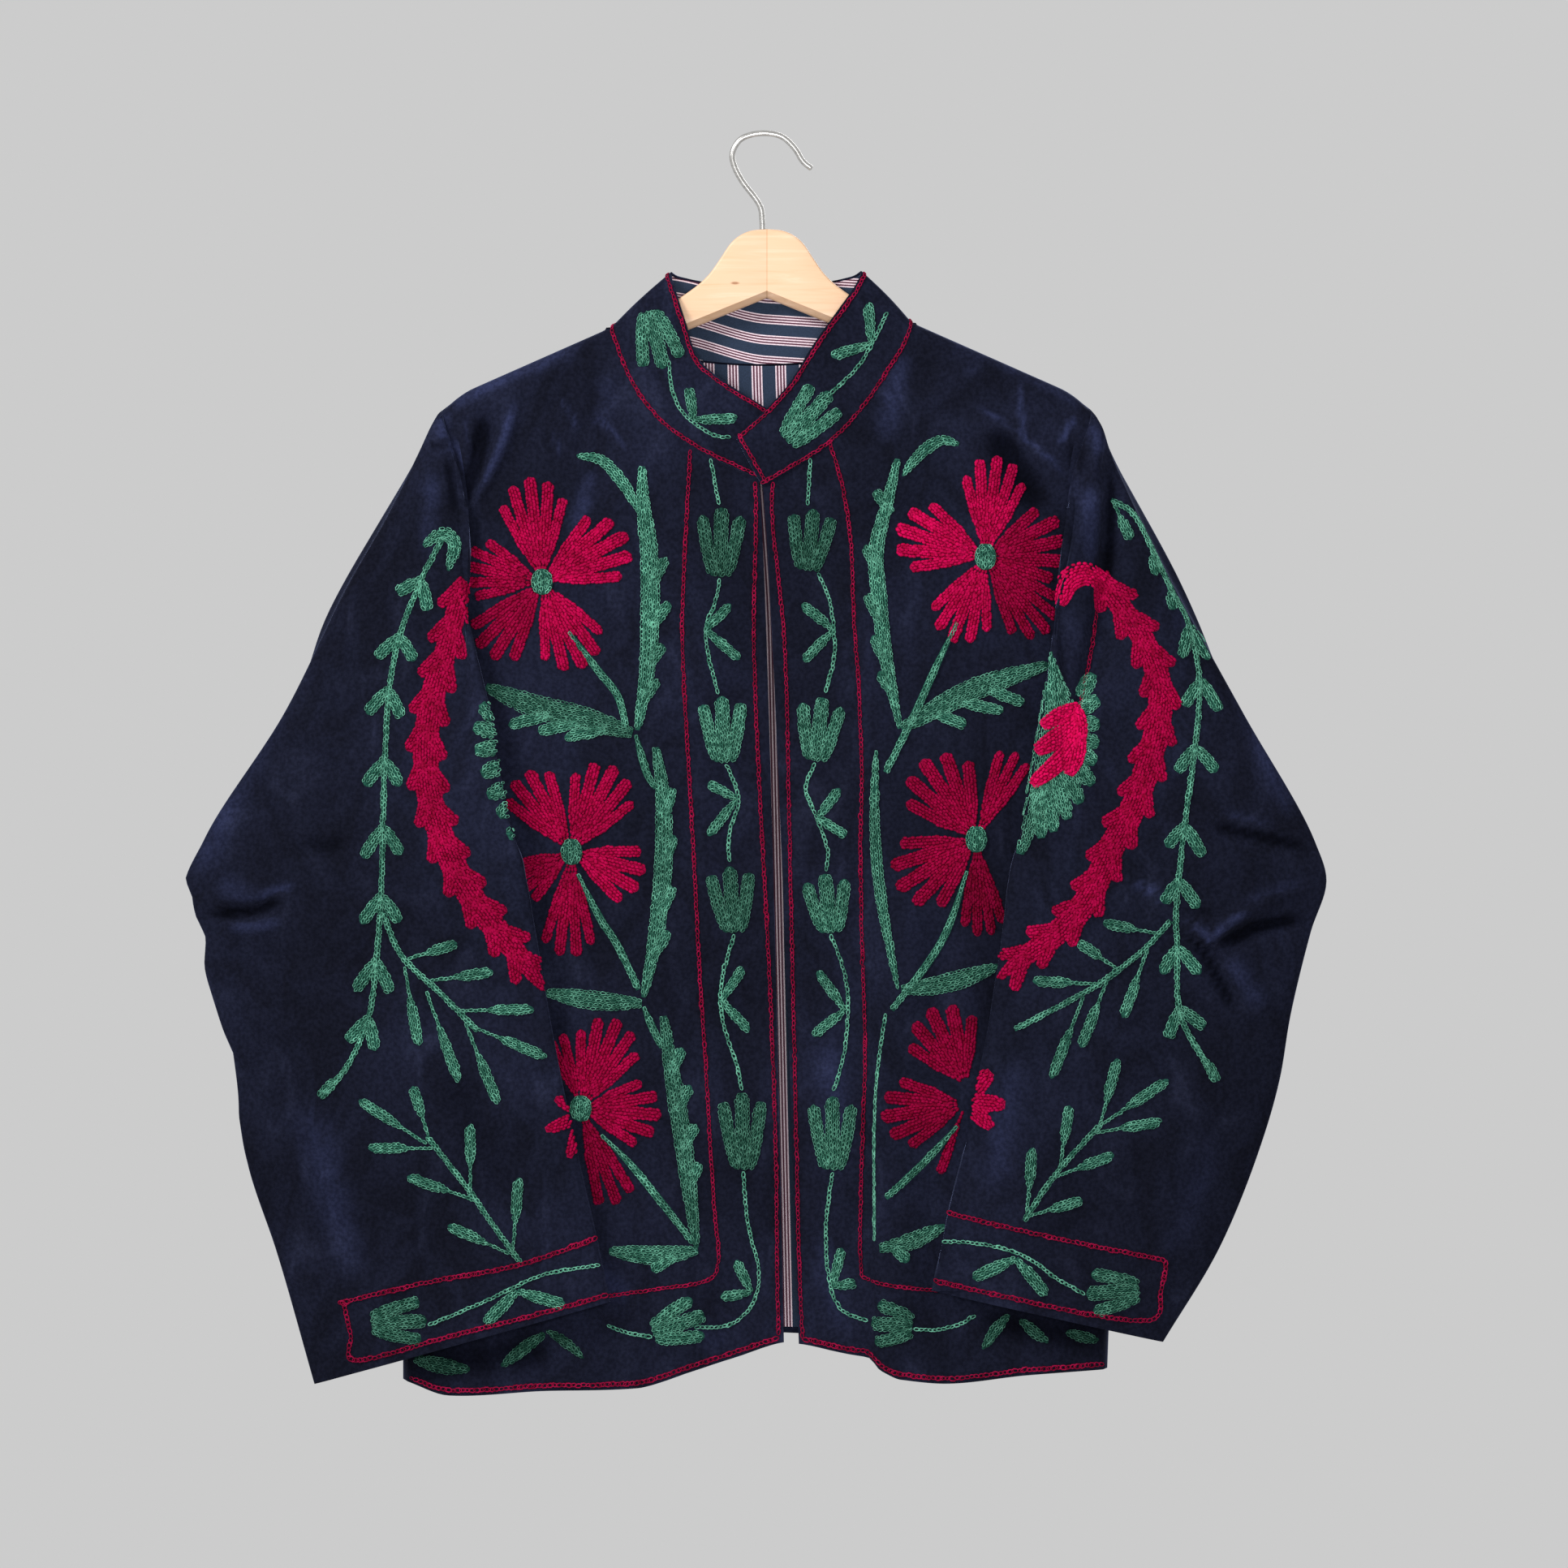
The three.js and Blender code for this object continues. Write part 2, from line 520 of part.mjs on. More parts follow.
function solidOf(geometry) {
  const bare = geometry.clone();
  bare.deleteAttribute("normal");
  bare.deleteAttribute("uv");
  const merged = mergeVertices(bare, 1e-4);
  return new wasm.Manifold(
    new wasm.Mesh({
      numProp: 3,
      vertProperties: merged.attributes.position.array,
      triVerts: new Uint32Array(merged.index.array),
    }),
  );
}

function cutOut(geometry, tool) {
  const mesh = solidOf(geometry).subtract(solidOf(tool)).getMesh();
  const cut = new THREE.BufferGeometry();
  cut.setAttribute("position", new THREE.BufferAttribute(new Float32Array(mesh.vertProperties), 3));
  cut.setIndex(new THREE.BufferAttribute(mesh.triVerts, 1));
  return cut;
}

// ---------- the pieces ----------
const CLOTH_ROWS = steps(19).map((v) => v ** 1.5); // closer together at the shoulder
const NECK_COLUMNS = steps(10).map((u) => u * NECK_PART);
const SLEEVE_COLUMNS = 24;
const SHOULDER_COLUMNS = [0.25, 0.45, 0.62, 0.78, 0.9, 1].map((u) => mix(NECK_PART, 1, u));

// Holds a panel's point on its own side of the side and shoulder seams, and inside the armhole.
function keepPanel(face) {
  const way = face === "front" ? -1 : 1;
  return (point) => {
    const seam = midY(point.x) + (way * SEAM) / 2;
    point.y = way > 0 ? Math.max(point.y, seam) : Math.min(point.y, seam);
    const edge = bodyEdge(halfAt(point.x), point.z, face);
    point.x = Math.min(edge, Math.max(-edge, point.x));
  };
}

function frontPanel(half) {
  const surface = frontSurface(half);
  const columns = [...NECK_COLUMNS, ...SHOULDER_COLUMNS];
  const grid = CLOTH_ROWS.map((v) => columns.map((u) => surface(u, v)));
  return wall(grid, { thick: VELVET, flip: half.side > 0, keep: keepPanel("front") });
}

function backPanel() {
  const neck = steps(12).map((u) => mix(-NECK_PART, NECK_PART, u));
  const columns = [...SHOULDER_COLUMNS.map((u) => -u).reverse(), ...neck, ...SHOULDER_COLUMNS];
  const grid = CLOTH_ROWS.map((v) => columns.map((u) => backSurface(u, v)));
  return wall(grid, { thick: VELVET, keep: keepPanel("back") });
}

function backLining() {
  const grid = steps(12).map((v) => steps(12).map((u) => liningSurface(u, v)));
  return wall(grid, { thick: LINING });
}

// Holds the rings at the armhole outside the body's edge.
function keepSleeve(half) {
  return (point, ring, column) => {
    if (ring >= SEAM_RINGS) return;
    const face = column < SLEEVE_COLUMNS / 2 ? "front" : "back";
    const clear = bodyEdge(half, point.z, face) + CURVED_SEAM;
    point.x = half.side * Math.max(clear, half.side * point.x);
  };
}

function sleeve(half, rows) {
  const angles = steps(SLEEVE_COLUMNS).slice(0, -1).map((turn) => turn * 2 * Math.PI);
  const grid = Array.from({ length: rows.length + SEAM_RINGS }, (_, ring) =>
    angles.map((angle) => sleeveRing(half, rows, ring, angle)),
  );
  return wall(grid, { thick: VELVET, around: true, flip: half.side < 0, keep: keepSleeve(half) });
}

function collarBand({ thick, inset, from, to, end }) {
  const last = COLLAR.length - 1;
  const sections = steps(last * 2).map((t) => Math.min(last - end, Math.max(end, t * last)));
  const grid = steps(3).map((up) => sections.map((at) => collarSurface(at, mix(from, to, up))));
  return wall(grid, { thick, inset, flip: true });
}

// A section of the bar: a rectangle with rounded corners, in the plane across the arm.
function barSection(side, { x, top, bottom, half }) {
  const corner = BAR_CORNER * Math.min(half, (top - bottom) / 2);
  const middle = (top + bottom) / 2;
  const y = BAR_FORWARD - SWEEP * x;
  const ring = [];
  for (const [sy, sz] of [[-1, 1], [-1, -1], [1, -1], [1, 1]]) {
    const cy = y + sy * (half - corner);
    const cz = middle + sz * ((top - bottom) / 2 - corner);
    const turns = [0, Math.PI / 4, Math.PI / 2];
    if (sy * sz > 0) turns.reverse();
    for (const turn of turns) {
      const [up, out] = [corner * Math.cos(turn), corner * Math.sin(turn)];
      ring.push(new THREE.Vector3(side * x, cy + sy * out, cz + sz * up));
    }
  }
  return ring;
}

function hangerBar() {
  const rings = [
    ...BAR.slice(1).reverse().map((row) => barSection(-1, row)),
    ...BAR.map((row) => barSection(1, row)),
  ];
  const bore = new THREE.CylinderGeometry(HOOK_BORE, HOOK_BORE, 2 * (HOOK_SET + SEAM), 16);
  bore.rotateX(Math.PI / 2).translate(HOOK_PATH[0][0], 0, BAR[0].top);
  return cutOut(loft(rings), bore);
}

function hangerHook() {
  const stations = HOOK_PATH.map(([x, z]) => new THREE.Vector3(x, 0, z));
  const path = new THREE.CatmullRomCurve3(stations, false, "centripetal");
  const section = new THREE.Shape().absarc(0, 0, HOOK_WIRE, 0, 2 * Math.PI);
  return new THREE.ExtrudeGeometry(section, { steps: 40, extrudePath: path, curveSegments: 5 });
}

const velvet = { color: 0x262b44, roughness: 0.85, metalness: 0 };
const striped = { color: 0x3a4460, roughness: 0.8, metalness: 0 };
const wood = { color: 0xe9d0a8, roughness: 0.55, metalness: 0 };
const steel = { color: 0xb9b6b0, roughness: 0.3, metalness: 1 };

const PIECES = {
  back_panel: [backPanel(), velvet],
  front_left: [frontPanel(HALVES.left), velvet],
  front_right: [frontPanel(HALVES.right), velvet],
  sleeve_left: [sleeve(HALVES.left, SLEEVE_RINGS.left), velvet],
  sleeve_right: [sleeve(HALVES.right, SLEEVE_RINGS.right), velvet],
  collar: [collarBand({ thick: VELVET, inset: 0, from: 0, to: 1, end: 0 }), velvet],
  collar_lining: [collarBand({ thick: LINING, inset: VELVET + SEAM, ...COLLAR_LINING }), striped],
  back_lining: [backLining(), striped],
  hanger_bar: [hangerBar(), wood],
  hanger_hook: [hangerHook(), steel],
};

const jacket = new THREE.Group();
for (const [name, [geometry, look]] of Object.entries(PIECES)) {
  const mesh = new THREE.Mesh(geometry, new THREE.MeshStandardMaterial(look));
  mesh.name = name;
  jacket.add(mesh);
}

export default jacket;
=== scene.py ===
# Suzani jacket on a wooden hanger: navy velvet with chain-stitch embroidery and a striped lining.
# Sizes are millimetres in the imported model's frame (+Z up, the front faces -Y, the wearer's left at +X),
# and MM turns them into metres. Each cloth piece is a fine thin wall on its solid's own form, with
# listed creases; the embroidery is rows of modelled chain-stitch links laid on those walls.
import math
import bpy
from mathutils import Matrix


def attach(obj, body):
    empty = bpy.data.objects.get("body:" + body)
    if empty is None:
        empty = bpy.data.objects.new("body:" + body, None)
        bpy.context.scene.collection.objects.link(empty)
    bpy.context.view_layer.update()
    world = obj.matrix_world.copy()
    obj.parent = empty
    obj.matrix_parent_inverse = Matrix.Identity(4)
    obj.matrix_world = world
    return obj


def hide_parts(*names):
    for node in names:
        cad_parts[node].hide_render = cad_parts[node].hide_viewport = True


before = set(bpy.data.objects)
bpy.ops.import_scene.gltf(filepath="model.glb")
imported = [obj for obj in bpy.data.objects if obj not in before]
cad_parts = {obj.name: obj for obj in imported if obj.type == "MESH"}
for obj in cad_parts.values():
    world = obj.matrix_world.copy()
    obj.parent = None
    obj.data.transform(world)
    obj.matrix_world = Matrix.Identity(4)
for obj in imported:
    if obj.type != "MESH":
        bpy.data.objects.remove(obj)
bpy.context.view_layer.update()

from types import SimpleNamespace as Named

import bpy
import numpy as np
from mathutils import Vector
from mathutils.bvhtree import BVHTree

MM = 0.001
BODY = "root"
RANDOM = np.random.default_rng(7)

# ---------- driving sizes of the jacket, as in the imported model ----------
SEAM = 0.3  # the gap between two pieces that meet
VELVET = 2.0  # how thick each cloth's wall is
LINING = 0.9
NECK = Named(x=97, z=-122)  # where the shoulder line leaves the collar
SHOULDER_SLOPE = 0.445
TIP_X = 203  # the shoulder's tip; the line bends down from TIP_ROUND_FROM on
TIP_ROUND_FROM = 188
TIP_ROUND = 0.015
SWEEP = 0.05  # how the hanger's arms come forward, for each millimetre outwards
SWEEP_SOFT = 40
RIDGE = 9  # radius of the roll of cloth on the shoulder line
FALL = {"front": Named(deep=24, reach=110), "back": Named(deep=9, reach=90)}
SIDE_POWER = 3.5  # how square the body's section is towards its side seams
ARMHOLE_SCOOP = {"front": 26, "back": 9}  # how far each face's armhole curves in
ARMHOLE_OPEN = 0.55  # share of the body's depth that is left at the armhole's edge
OPEN_WITHIN = 0.35  # share of the armhole's height over which the depth comes down to that
CLOSE_FROM = 0.75  # share of it from which the section closes to the side seam
UNDERARM_Z = -400
EDGE_TOP_Z = -226  # the front edges drift outwards from this height down to the next
EDGE_END_Z = -777
BACK_HEM = Named(middle=-772, side=-791, reach=210)
HANG_SOFT = 0.12  # rows of points lie closer together near the top

# The two halves: their side seam, front edge, hem (its x towards that side, and z) and long fold.
LEFT = Named(
    side=1,
    underarm_x=233,
    hem_x=219,
    edge=Named(top=-3, drift=23.5, power=0.75),
    hem=[
        (20.5, -776), (50, -782), (66, -785), (72, -792), (84, -798), (118, -801), (165, -796), (219, -793),
    ],
    fold=Named(x=73, high=9, start=-400, full=-640, rise=10, fade=50),
)
RIGHT = Named(
    side=-1,
    underarm_x=235,
    hem_x=234,
    edge=Named(top=-5, drift=16, power=0.7),
    hem=[(-11, -775), (18, -784), (50, -794), (81, -804), (143, -806), (205, -809), (234, -800)],
    fold=Named(x=52, high=5, start=-600, full=-780, rise=26, fade=30),
)

# The stand collar, a row for each section round the neck:
# x and z on the neck seam, x, z and y of the free edge, and how far the section is lifted out.
COLLAR = np.array([
    (-5, -222, 2, -178, -18, -2.5),
    (-39, -206, -26, -160, -19, -0.4),
    (-67, -187, -44, -144, -18, 0),
    (-86, -163, -52, -121, -15, 0),
    (-97, -138, -58, -102, -9, 0),
    (-100, -123.3, -62, -88, 0, 0),
    (-84, -127, -56, -90, 8, 0),
    (-48, -136, -34, -94, 12, 0),
    (-3, -139, -1, -95, 13, 0),
    (42, -136, 32, -94, 12, 0),
    (78, -127, 54, -90, 8, 0),
    (93, -120.2, 61, -87, 0, 0),
    (89, -136, 56, -98, -9, 0),
    (78, -154, 47, -111, -15, 0),
    (60, -180, 30, -135, -19, 0),
    (38, -201, 11, -164, -22, 0.6),
    (-3, -226, -20, -195, -23, 2),
], float)
COLLAR_X, COLLAR_Z, TOP_X, TOP_Z, TOP_Y, LIFT = range(6)
COLLAR_BOW = 1.5  # how far the band bulges between its two edges
RIGHT_RIDGE = 5  # the rows that lie on the two shoulder lines
LEFT_RIDGE = 11
LAST_SECTION = len(COLLAR) - 1

# The sleeves, a row for each ring: outer fold x, z, y; inner fold x, z, y; lean and front; spread and rear.
SLEEVE_RINGS = {
    "right": [
        (211, -180, -9, 239, -409, -27, 31, 14, 4, 22),
        (215, -187, -9, 224, -416, -37, 27, 9, 17, 29),
        (224, -205, -10, 194, -427, -46, 18, 13, 38, 33),
        (245, -247, -12, 170, -440, -49, 19, 12, 56, 29),
        (269, -289, -14, 159, -457, -50, 12, 16, 58, 26),
        (310, -372, -18, 153, -480, -50, 6, 15, 34, 18),
        (362, -455, -22, 149, -503, -49, 0, 14, 10, 12),
        (371, -480, -24, 146, -520, -49, 0, 13, 4, 10),
        (360, -520, -25, 142, -545, -48, 0, 13, 0, 10),
        (351, -565, -26, 137, -574, -48, 0, 13, 0, 10),
        (339, -615, -27, 130, -610, -48, 0, 12, 0, 9),
        (333, -660, -28, 121, -652, -48, 0, 12, 0, 9),
        (314, -718, -28, 111, -695, -48, 0, 11, 0, 9),
        (290, -802, -28, 100, -748, -48, 0, 10, 0, 9),
    ],
    "left": [
        (211, -181, -9, 237, -409, -27, 31, 14, 4, 22),
        (215, -188, -9, 224, -416, -37, 25, 8, 17, 29),
        (221, -205, -10, 195, -427, -46, 17, 14, 38, 33),
        (240, -247, -12, 173, -440, -49, 16, 12, 54, 29),
        (261, -289, -14, 164, -457, -50, 11, 16, 56, 26),
        (306, -372, -18, 157, -480, -50, 6, 15, 34, 18),
        (352, -455, -22, 153, -503, -49, 0, 14, 10, 12),
        (359, -478, -24, 150, -520, -49, 0, 13, 4, 10),
        (349, -512, -25, 146, -542, -48, 0, 13, 0, 10),
        (336, -565, -26, 141, -574, -48, 0, 13, 0, 10),
        (329, -606, -27, 134, -608, -48, 0, 12, 0, 9),
        (318, -645, -28, 127, -646, -48, 0, 12, 0, 9),
        (290, -715, -28, 115, -694, -48, 0, 11, 0, 9),
        (254, -775, -28, 106, -741, -48, 0, 10, 0, 9),
    ],
}
SLEEVE_POWER = 2.4  # how square a sleeve's section is
# Each layer of a sleeve keeps a rest in front of the body, up to a reach past the body's edge; the front
# layer's rest is smaller at the first rings of the table.
PLEAT_RESTS = [4, 7]
REST = Named(front=11, back=4)
REST_REACH = Named(front=36, back=4)
# The back layer lies at least so far past the body's edge, until a drop below the underarm, and is then
# released within another drop.
PASS_OUTSIDE = Named(least=4, until=6, within=26, released=60)
SEAM_RINGS = 3  # rings above the table's: on the armhole, past it, and moved forward
SLEEVE_LIP = 7  # how far the cloth runs on past the armhole
LIP_SAMPLE = 4  # inside the armhole's edge, where that run starts
LIP_FLATTEN = 0.5  # share of the run's way forwards or backwards that is kept
LIP_DROP = 3  # how much the run goes down at the shoulder and the underarm
SLEEVE_TURN = 12  # how far the last of them is moved forward
FULL_TURN_AT = 0.8 * math.pi  # the angle round the armhole from which it is moved fully

LINING_FROM = 0.9  # sections of the collar between the back lining and a ridge
LINING_BELOW_SEAM = 0.5
LINING_ABOVE_HEM = 4
LINING_GAP = 0.6  # between the back's cloth and its lining
COLLAR_LINING = Named(low=0.07, high=0.97, end=0.25)  # heights up the band, and sections left at its ends
# Both linings start lower at the back of the neck: the band's by a share of its height, the back's by a
# drop. They come down within so many sections of the ridges.
NECK_LOWERED = Named(share=0.24, drop=8.0, within=1.5)

# The hanger's bar, a row for each section from the middle to a tip: x, top, bottom, half its depth.
BAR = [
    (0, -60, -104, 6),
    (10, -61, -108.1, 6),
    (18, -64.5, -111.4, 6),
    (24, -70, -113.8, 6),
    (30, -79, -116.3, 6),
    (38, -90, -119.6, 6),
    (49, -99.6, -124.1, 6),
    (70, -113, -132.7, 5.4),
    (97, -127, -143.8, 5),
    (150, -149.2, -165.5, 5),
    (188, -166.4, -181, 5),
    (198, -173, -183.5, 3.6),
]
BAR_Y = 1.6  # of the middle of the bar's section, at x = 0
BAR_CORNER = 0.35  # radius of the round corners, as a share of the smaller half size
BAR_BEVEL = Named(high=4.2, deep=5.5)  # of the lower front edge
HOOK_WIRE = 1.9  # radius of the wire
# The hook's wire, as x and z from the bar to its end.
HOOK_PATH = [
    (-3, -74), (-3, -66), (-3, -55), (-5, -44), (-16, -29), (-21.5, -18), (-22, -10), (-17.5, -2.5),
    (-10, 1), (0, 1.9), (10, -0.5), (18, -8), (23, -16), (29, -21),
]


# ---------- small tools ----------
def mix(a, b, t):
    return a + (b - a) * t


def clamp01(t):
    return np.clip(t, 0.0, 1.0)


def smooth(t):
    return clamp01(t) ** 2 * (3 - 2 * clamp01(t))


def read_rows(rows, at):
    """A smooth curve through the rows of a table, read at row numbers that may lie between rows."""
    rows = np.asarray(rows, float)
    at = np.asarray(at, float)
    last = len(rows) - 1
    i = np.clip(np.floor(at).astype(int), 0, last - 1)
    t = (at - i).reshape(at.shape + (1,) * (rows.ndim - 1))
    a, b, c, d = (rows[np.clip(i + k, 0, last)] for k in (-1, 0, 1, 2))
    return b + 0.5 * t * (c - a + t * (2 * a - 5 * b + 4 * c - d + t * (3 * (b - c) + d - a)))


def smooth_line(points, per_step=8):
    """A line of points made smooth, with this many short steps between each two of them."""
    return read_rows(points, np.linspace(0, len(points) - 1, (len(points) - 1) * per_step + 1))


def read_hem(half, x):
    """The z of a front's hem at distance x from the centre line."""
    rows = np.array(half.hem, float)
    return read_rows(rows[:, 1], np.interp(half.side * x, rows[:, 0], np.arange(len(rows))))


def read_heights(table, z):
    """Values at heights z, from rows of height and value that go down the jacket."""
    heights, values = np.array(table, float).T
    return np.interp(-z, -heights, values)


def by_side(x, value):
    """What value makes of the half that each x lies in."""
    return np.where(x >= 0, value(LEFT), value(RIGHT))


# ---------- the body's form ----------
def mid_y(x):
    """The plane of the hanger's arms, where front and back meet."""
    return -SWEEP * (np.hypot(x, SWEEP_SOFT) - SWEEP_SOFT)


def shoulder_z(x):
    reach = np.abs(x)
    rounded = TIP_ROUND * np.maximum(0, reach - TIP_ROUND_FROM) ** 2
    return NECK.z - SHOULDER_SLOPE * (reach - NECK.x) - rounded


TIP_Z = float(shoulder_z(TIP_X))


def body_edge(half, z, face):
    """Distance from the centre line to the armhole's edge, and below it to the side seam."""
    below = clamp01((UNDERARM_Z - z) / (UNDERARM_Z - half.hem[-1][1]))
    t = clamp01((TIP_Z - z) / (TIP_Z - UNDERARM_Z))
    above = mix(TIP_X, half.underarm_x, t) - ARMHOLE_SCOOP[face] * np.sin(np.pi * t)
    return np.where(z < UNDERARM_Z, mix(half.underarm_x, half.hem_x, below), above)


def closing(x, z, face):
    """Share of the body's depth at a place: full in the middle, none at the side seam."""
    share = np.minimum(1, np.abs(x) / by_side(x, lambda half: body_edge(half, z, face)))
    down = clamp01((TIP_Z - z) / (TIP_Z - UNDERARM_Z))
    opened = mix(1, ARMHOLE_OPEN, smooth(down / OPEN_WITHIN)) * np.sqrt(1 - down**3)
    rounded = (1 - share**SIDE_POWER) ** (1 / SIDE_POWER)
    cut = 1 - (1 - opened) * share**5
    return mix(cut, rounded, smooth((down - CLOSE_FROM) / (1 - CLOSE_FROM)))


def fall(x, z, face):
    """How far the cloth has come out from the hanger's plane, for its drop below the shoulder line."""
    drop = np.maximum(0, shoulder_z(x) - z)
    rounded = RIDGE * np.sqrt(1 - (1 - np.minimum(drop / RIDGE, 1)) ** 2)
    hanging = FALL[face].deep * (1 - np.exp(-drop / FALL[face].reach))
    return (rounded + hanging) * closing(x, z, face)


def fold_out(x, z):
    """The long fold of each front: steep towards the centre line, fading slowly outwards."""

    def of_half(half):
        fold = half.fold
        past = np.abs(x) - fold.x
        grown = smooth((fold.start - z) / (fold.start - fold.full))
        outwards = np.exp(-((np.maximum(past, 0) / fold.fade) ** 1.5))
        return fold.high * grown * np.where(past < 0, smooth(1 + past / fold.rise), outwards)

    return by_side(x, of_half)


def front_y(x, z):
    return mid_y(x) - SEAM / 2 - fall(x, z, "front") - fold_out(x, z) * closing(x, z, "front")


def back_y(x, z):
    return mid_y(x) + SEAM / 2 + fall(x, z, "back")


FACE_Y = {"front": front_y, "back": back_y}


def front_edge_x(half, z):
    """The x of a front's free edge."""
    down = clamp01((EDGE_TOP_Z - z) / (EDGE_TOP_Z - EDGE_END_Z))
    return half.edge.top + half.edge.drift * down**half.edge.power


def back_hem_z(x):
    return mix(BACK_HEM.middle, BACK_HEM.side, smooth(np.abs(x) / BACK_HEM.reach))


def neck_point(at):
    """Points of the neck seam, at row numbers of the collar's table."""
    section = read_rows(COLLAR, at)
    x, z = section[..., COLLAR_X], section[..., COLLAR_Z]
    is_back = (at > RIGHT_RIDGE) & (at < LEFT_RIDGE)
    return np.stack([x, np.where(is_back, back_y(x, z), front_y(x, z)), z], axis=-1)


def collar_surface(at, up):
    """Points of the collar, at row numbers of its table and shares of its height."""
    base = neck_point(at)
    section = read_rows(COLLAR, at)
    top = section[..., [TOP_X, TOP_Y, TOP_Z]]
    out = base * (1, 1, 0)
    out /= np.linalg.norm(out, axis=-1, keepdims=True)
    lift = section[..., LIFT] + COLLAR_BOW * np.sin(np.pi * up)
    return mix(base, top, np.asarray(up)[..., None]) + out * lift[..., None]


# ---------- grids of points for the cloth ----------
LEAST_COLUMN = 0.004  # share of a panel's width that its columns keep between them


def hang(down):
    """The share of the way down for a row's share of all rows."""
    return (1 + HANG_SOFT) * down * down / (down + HANG_SOFT)


def shoulder_run(ridge_x, side, count):
    """Points along a shoulder line, from the collar to its tip."""
    x = side * np.linspace(ridge_x, TIP_X, count)
    return np.stack([x, np.zeros(count), shoulder_z(x)], axis=-1)


def panel_grid(top, down, inner, outer, hem_z, end_z, face):
    """Columns from the top points down to the hem, each at a constant share of the panel's width."""
    across = clamp01((top[:, 0] - inner(top[:, 2])) / (outer(top[:, 2]) - inner(top[:, 2])))
    apart = LEAST_COLUMN * np.arange(len(across))
    across = np.minimum(1, np.maximum.accumulate(across - apart) + apart)
    end_x = mix(inner(end_z), outer(end_z), across)
    z = mix(top[:, 2], hem_z(end_x), hang(down)[:, None])
    x = mix(inner(z), outer(z), across)
    x[0] = top[:, 0]
    return np.stack([x, FACE_Y[face](x, z), z], axis=-1)


def front_grid(half, rows=160, neck_columns=40, shoulder_columns=34):
    ridge = LEFT_RIDGE if half.side > 0 else RIGHT_RIDGE
    end = LAST_SECTION if half.side > 0 else 0
    neck = neck_point(np.linspace(end, ridge, neck_columns))
    shoulder = shoulder_run(abs(COLLAR[ridge, COLLAR_X]), half.side, shoulder_columns)[1:]
    return panel_grid(
        np.concatenate([neck, shoulder]),
        np.linspace(0, 1, rows),
        lambda z: front_edge_x(half, z),
        lambda z: half.side * body_edge(half, z, "front"),
        lambda x: read_hem(half, x),
        half.hem[-1][1],
        "front",
    )


def back_grid(rows=120, neck_columns=48, shoulder_columns=28):
    neck = neck_point(np.linspace(RIGHT_RIDGE, LEFT_RIDGE, neck_columns))
    right = shoulder_run(-COLLAR[RIGHT_RIDGE, COLLAR_X], -1, shoulder_columns)[:0:-1]
    left = shoulder_run(COLLAR[LEFT_RIDGE, COLLAR_X], 1, shoulder_columns)[1:]
    return panel_grid(
        np.concatenate([right, neck, left]),
        np.linspace(0, 1, rows),
        lambda z: -body_edge(RIGHT, z, "back"),
        lambda z: body_edge(LEFT, z, "back"),
        back_hem_z,
        BACK_HEM.side,
        "back",
    )


def at_back(at):
    """1 at the back of the neck, none at the ridges and in front of them."""
    to_ridge = np.minimum(at - RIGHT_RIDGE, LEFT_RIDGE - at)
    return smooth(to_ridge / NECK_LOWERED.within)


def lining_grid(rows=60, columns=60):
    at = np.linspace(RIGHT_RIDGE + LINING_FROM, LEFT_RIDGE - LINING_FROM, columns)
    top = neck_point(at)
    down = np.linspace(0, 1, rows)[:, None]
    top_z = top[:, 2] - LINING_BELOW_SEAM - NECK_LOWERED.drop * at_back(at)
    z = mix(top_z, back_hem_z(top[:, 0]) + LINING_ABOVE_HEM, down)
    x = np.broadcast_to(top[:, 0], z.shape)
    return np.stack([x, back_y(x, z) - VELVET - LINING_GAP, z], axis=-1)


def collar_grid(low=0.0, high=1.0, end=0.0, rows=14, columns=170, lowered=0.0):
    at = np.linspace(end, LAST_SECTION - end, columns)
    up = mix(low - lowered * at_back(at), high, np.linspace(0, 1, rows)[:, None])
    return collar_surface(np.broadcast_to(at, up.shape), up)


# ---------- the sleeves ----------
def armhole_point(half, angle, inset=0.0):
    """The armhole at an angle: 0 at the shoulder tip, through the front, half a turn at the underarm."""
    z = mix(TIP_Z, UNDERARM_Z, (1 - np.cos(angle)) / 2)
    is_front = np.sin(angle) > 0
    edge = np.where(is_front, body_edge(half, z, "front"), body_edge(half, z, "back"))
    x = half.side * (edge - inset)
    y = np.where(is_front, front_y(x, z), back_y(x, z))
    y = np.where(np.abs(np.sin(angle)) < 1e-6, mid_y(x), y)
    return np.stack([x, y, z], axis=-1)


def armhole_run(half, angle):
    """The way in which the cloth leaves the armhole."""
    run = armhole_point(half, angle) - armhole_point(half, angle, LIP_SAMPLE)
    run[:, 1] *= LIP_FLATTEN
    run[:, 2] -= LIP_DROP * (1 - np.abs(np.sin(angle)))
    return run / np.linalg.norm(run, axis=1, keepdims=True)


def turn_share(angle):
    """The share of the last seam ring's move forward: more and more through the front, less at the back."""
    return smooth(np.where(angle < np.pi, angle / FULL_TURN_AT, 3 - 2 * angle / np.pi))


def pass_outside(half, x, z):
    """A sleeve's back layer, moved out past the body's edge and let go below the underarm."""
    below = UNDERARM_Z - PASS_OUTSIDE.until - z
    clear = body_edge(half, z, "back") + PASS_OUTSIDE.least
    clear = clear - PASS_OUTSIDE.released * smooth(below / PASS_OUTSIDE.within)
    return half.side * np.maximum(clear, np.abs(x))


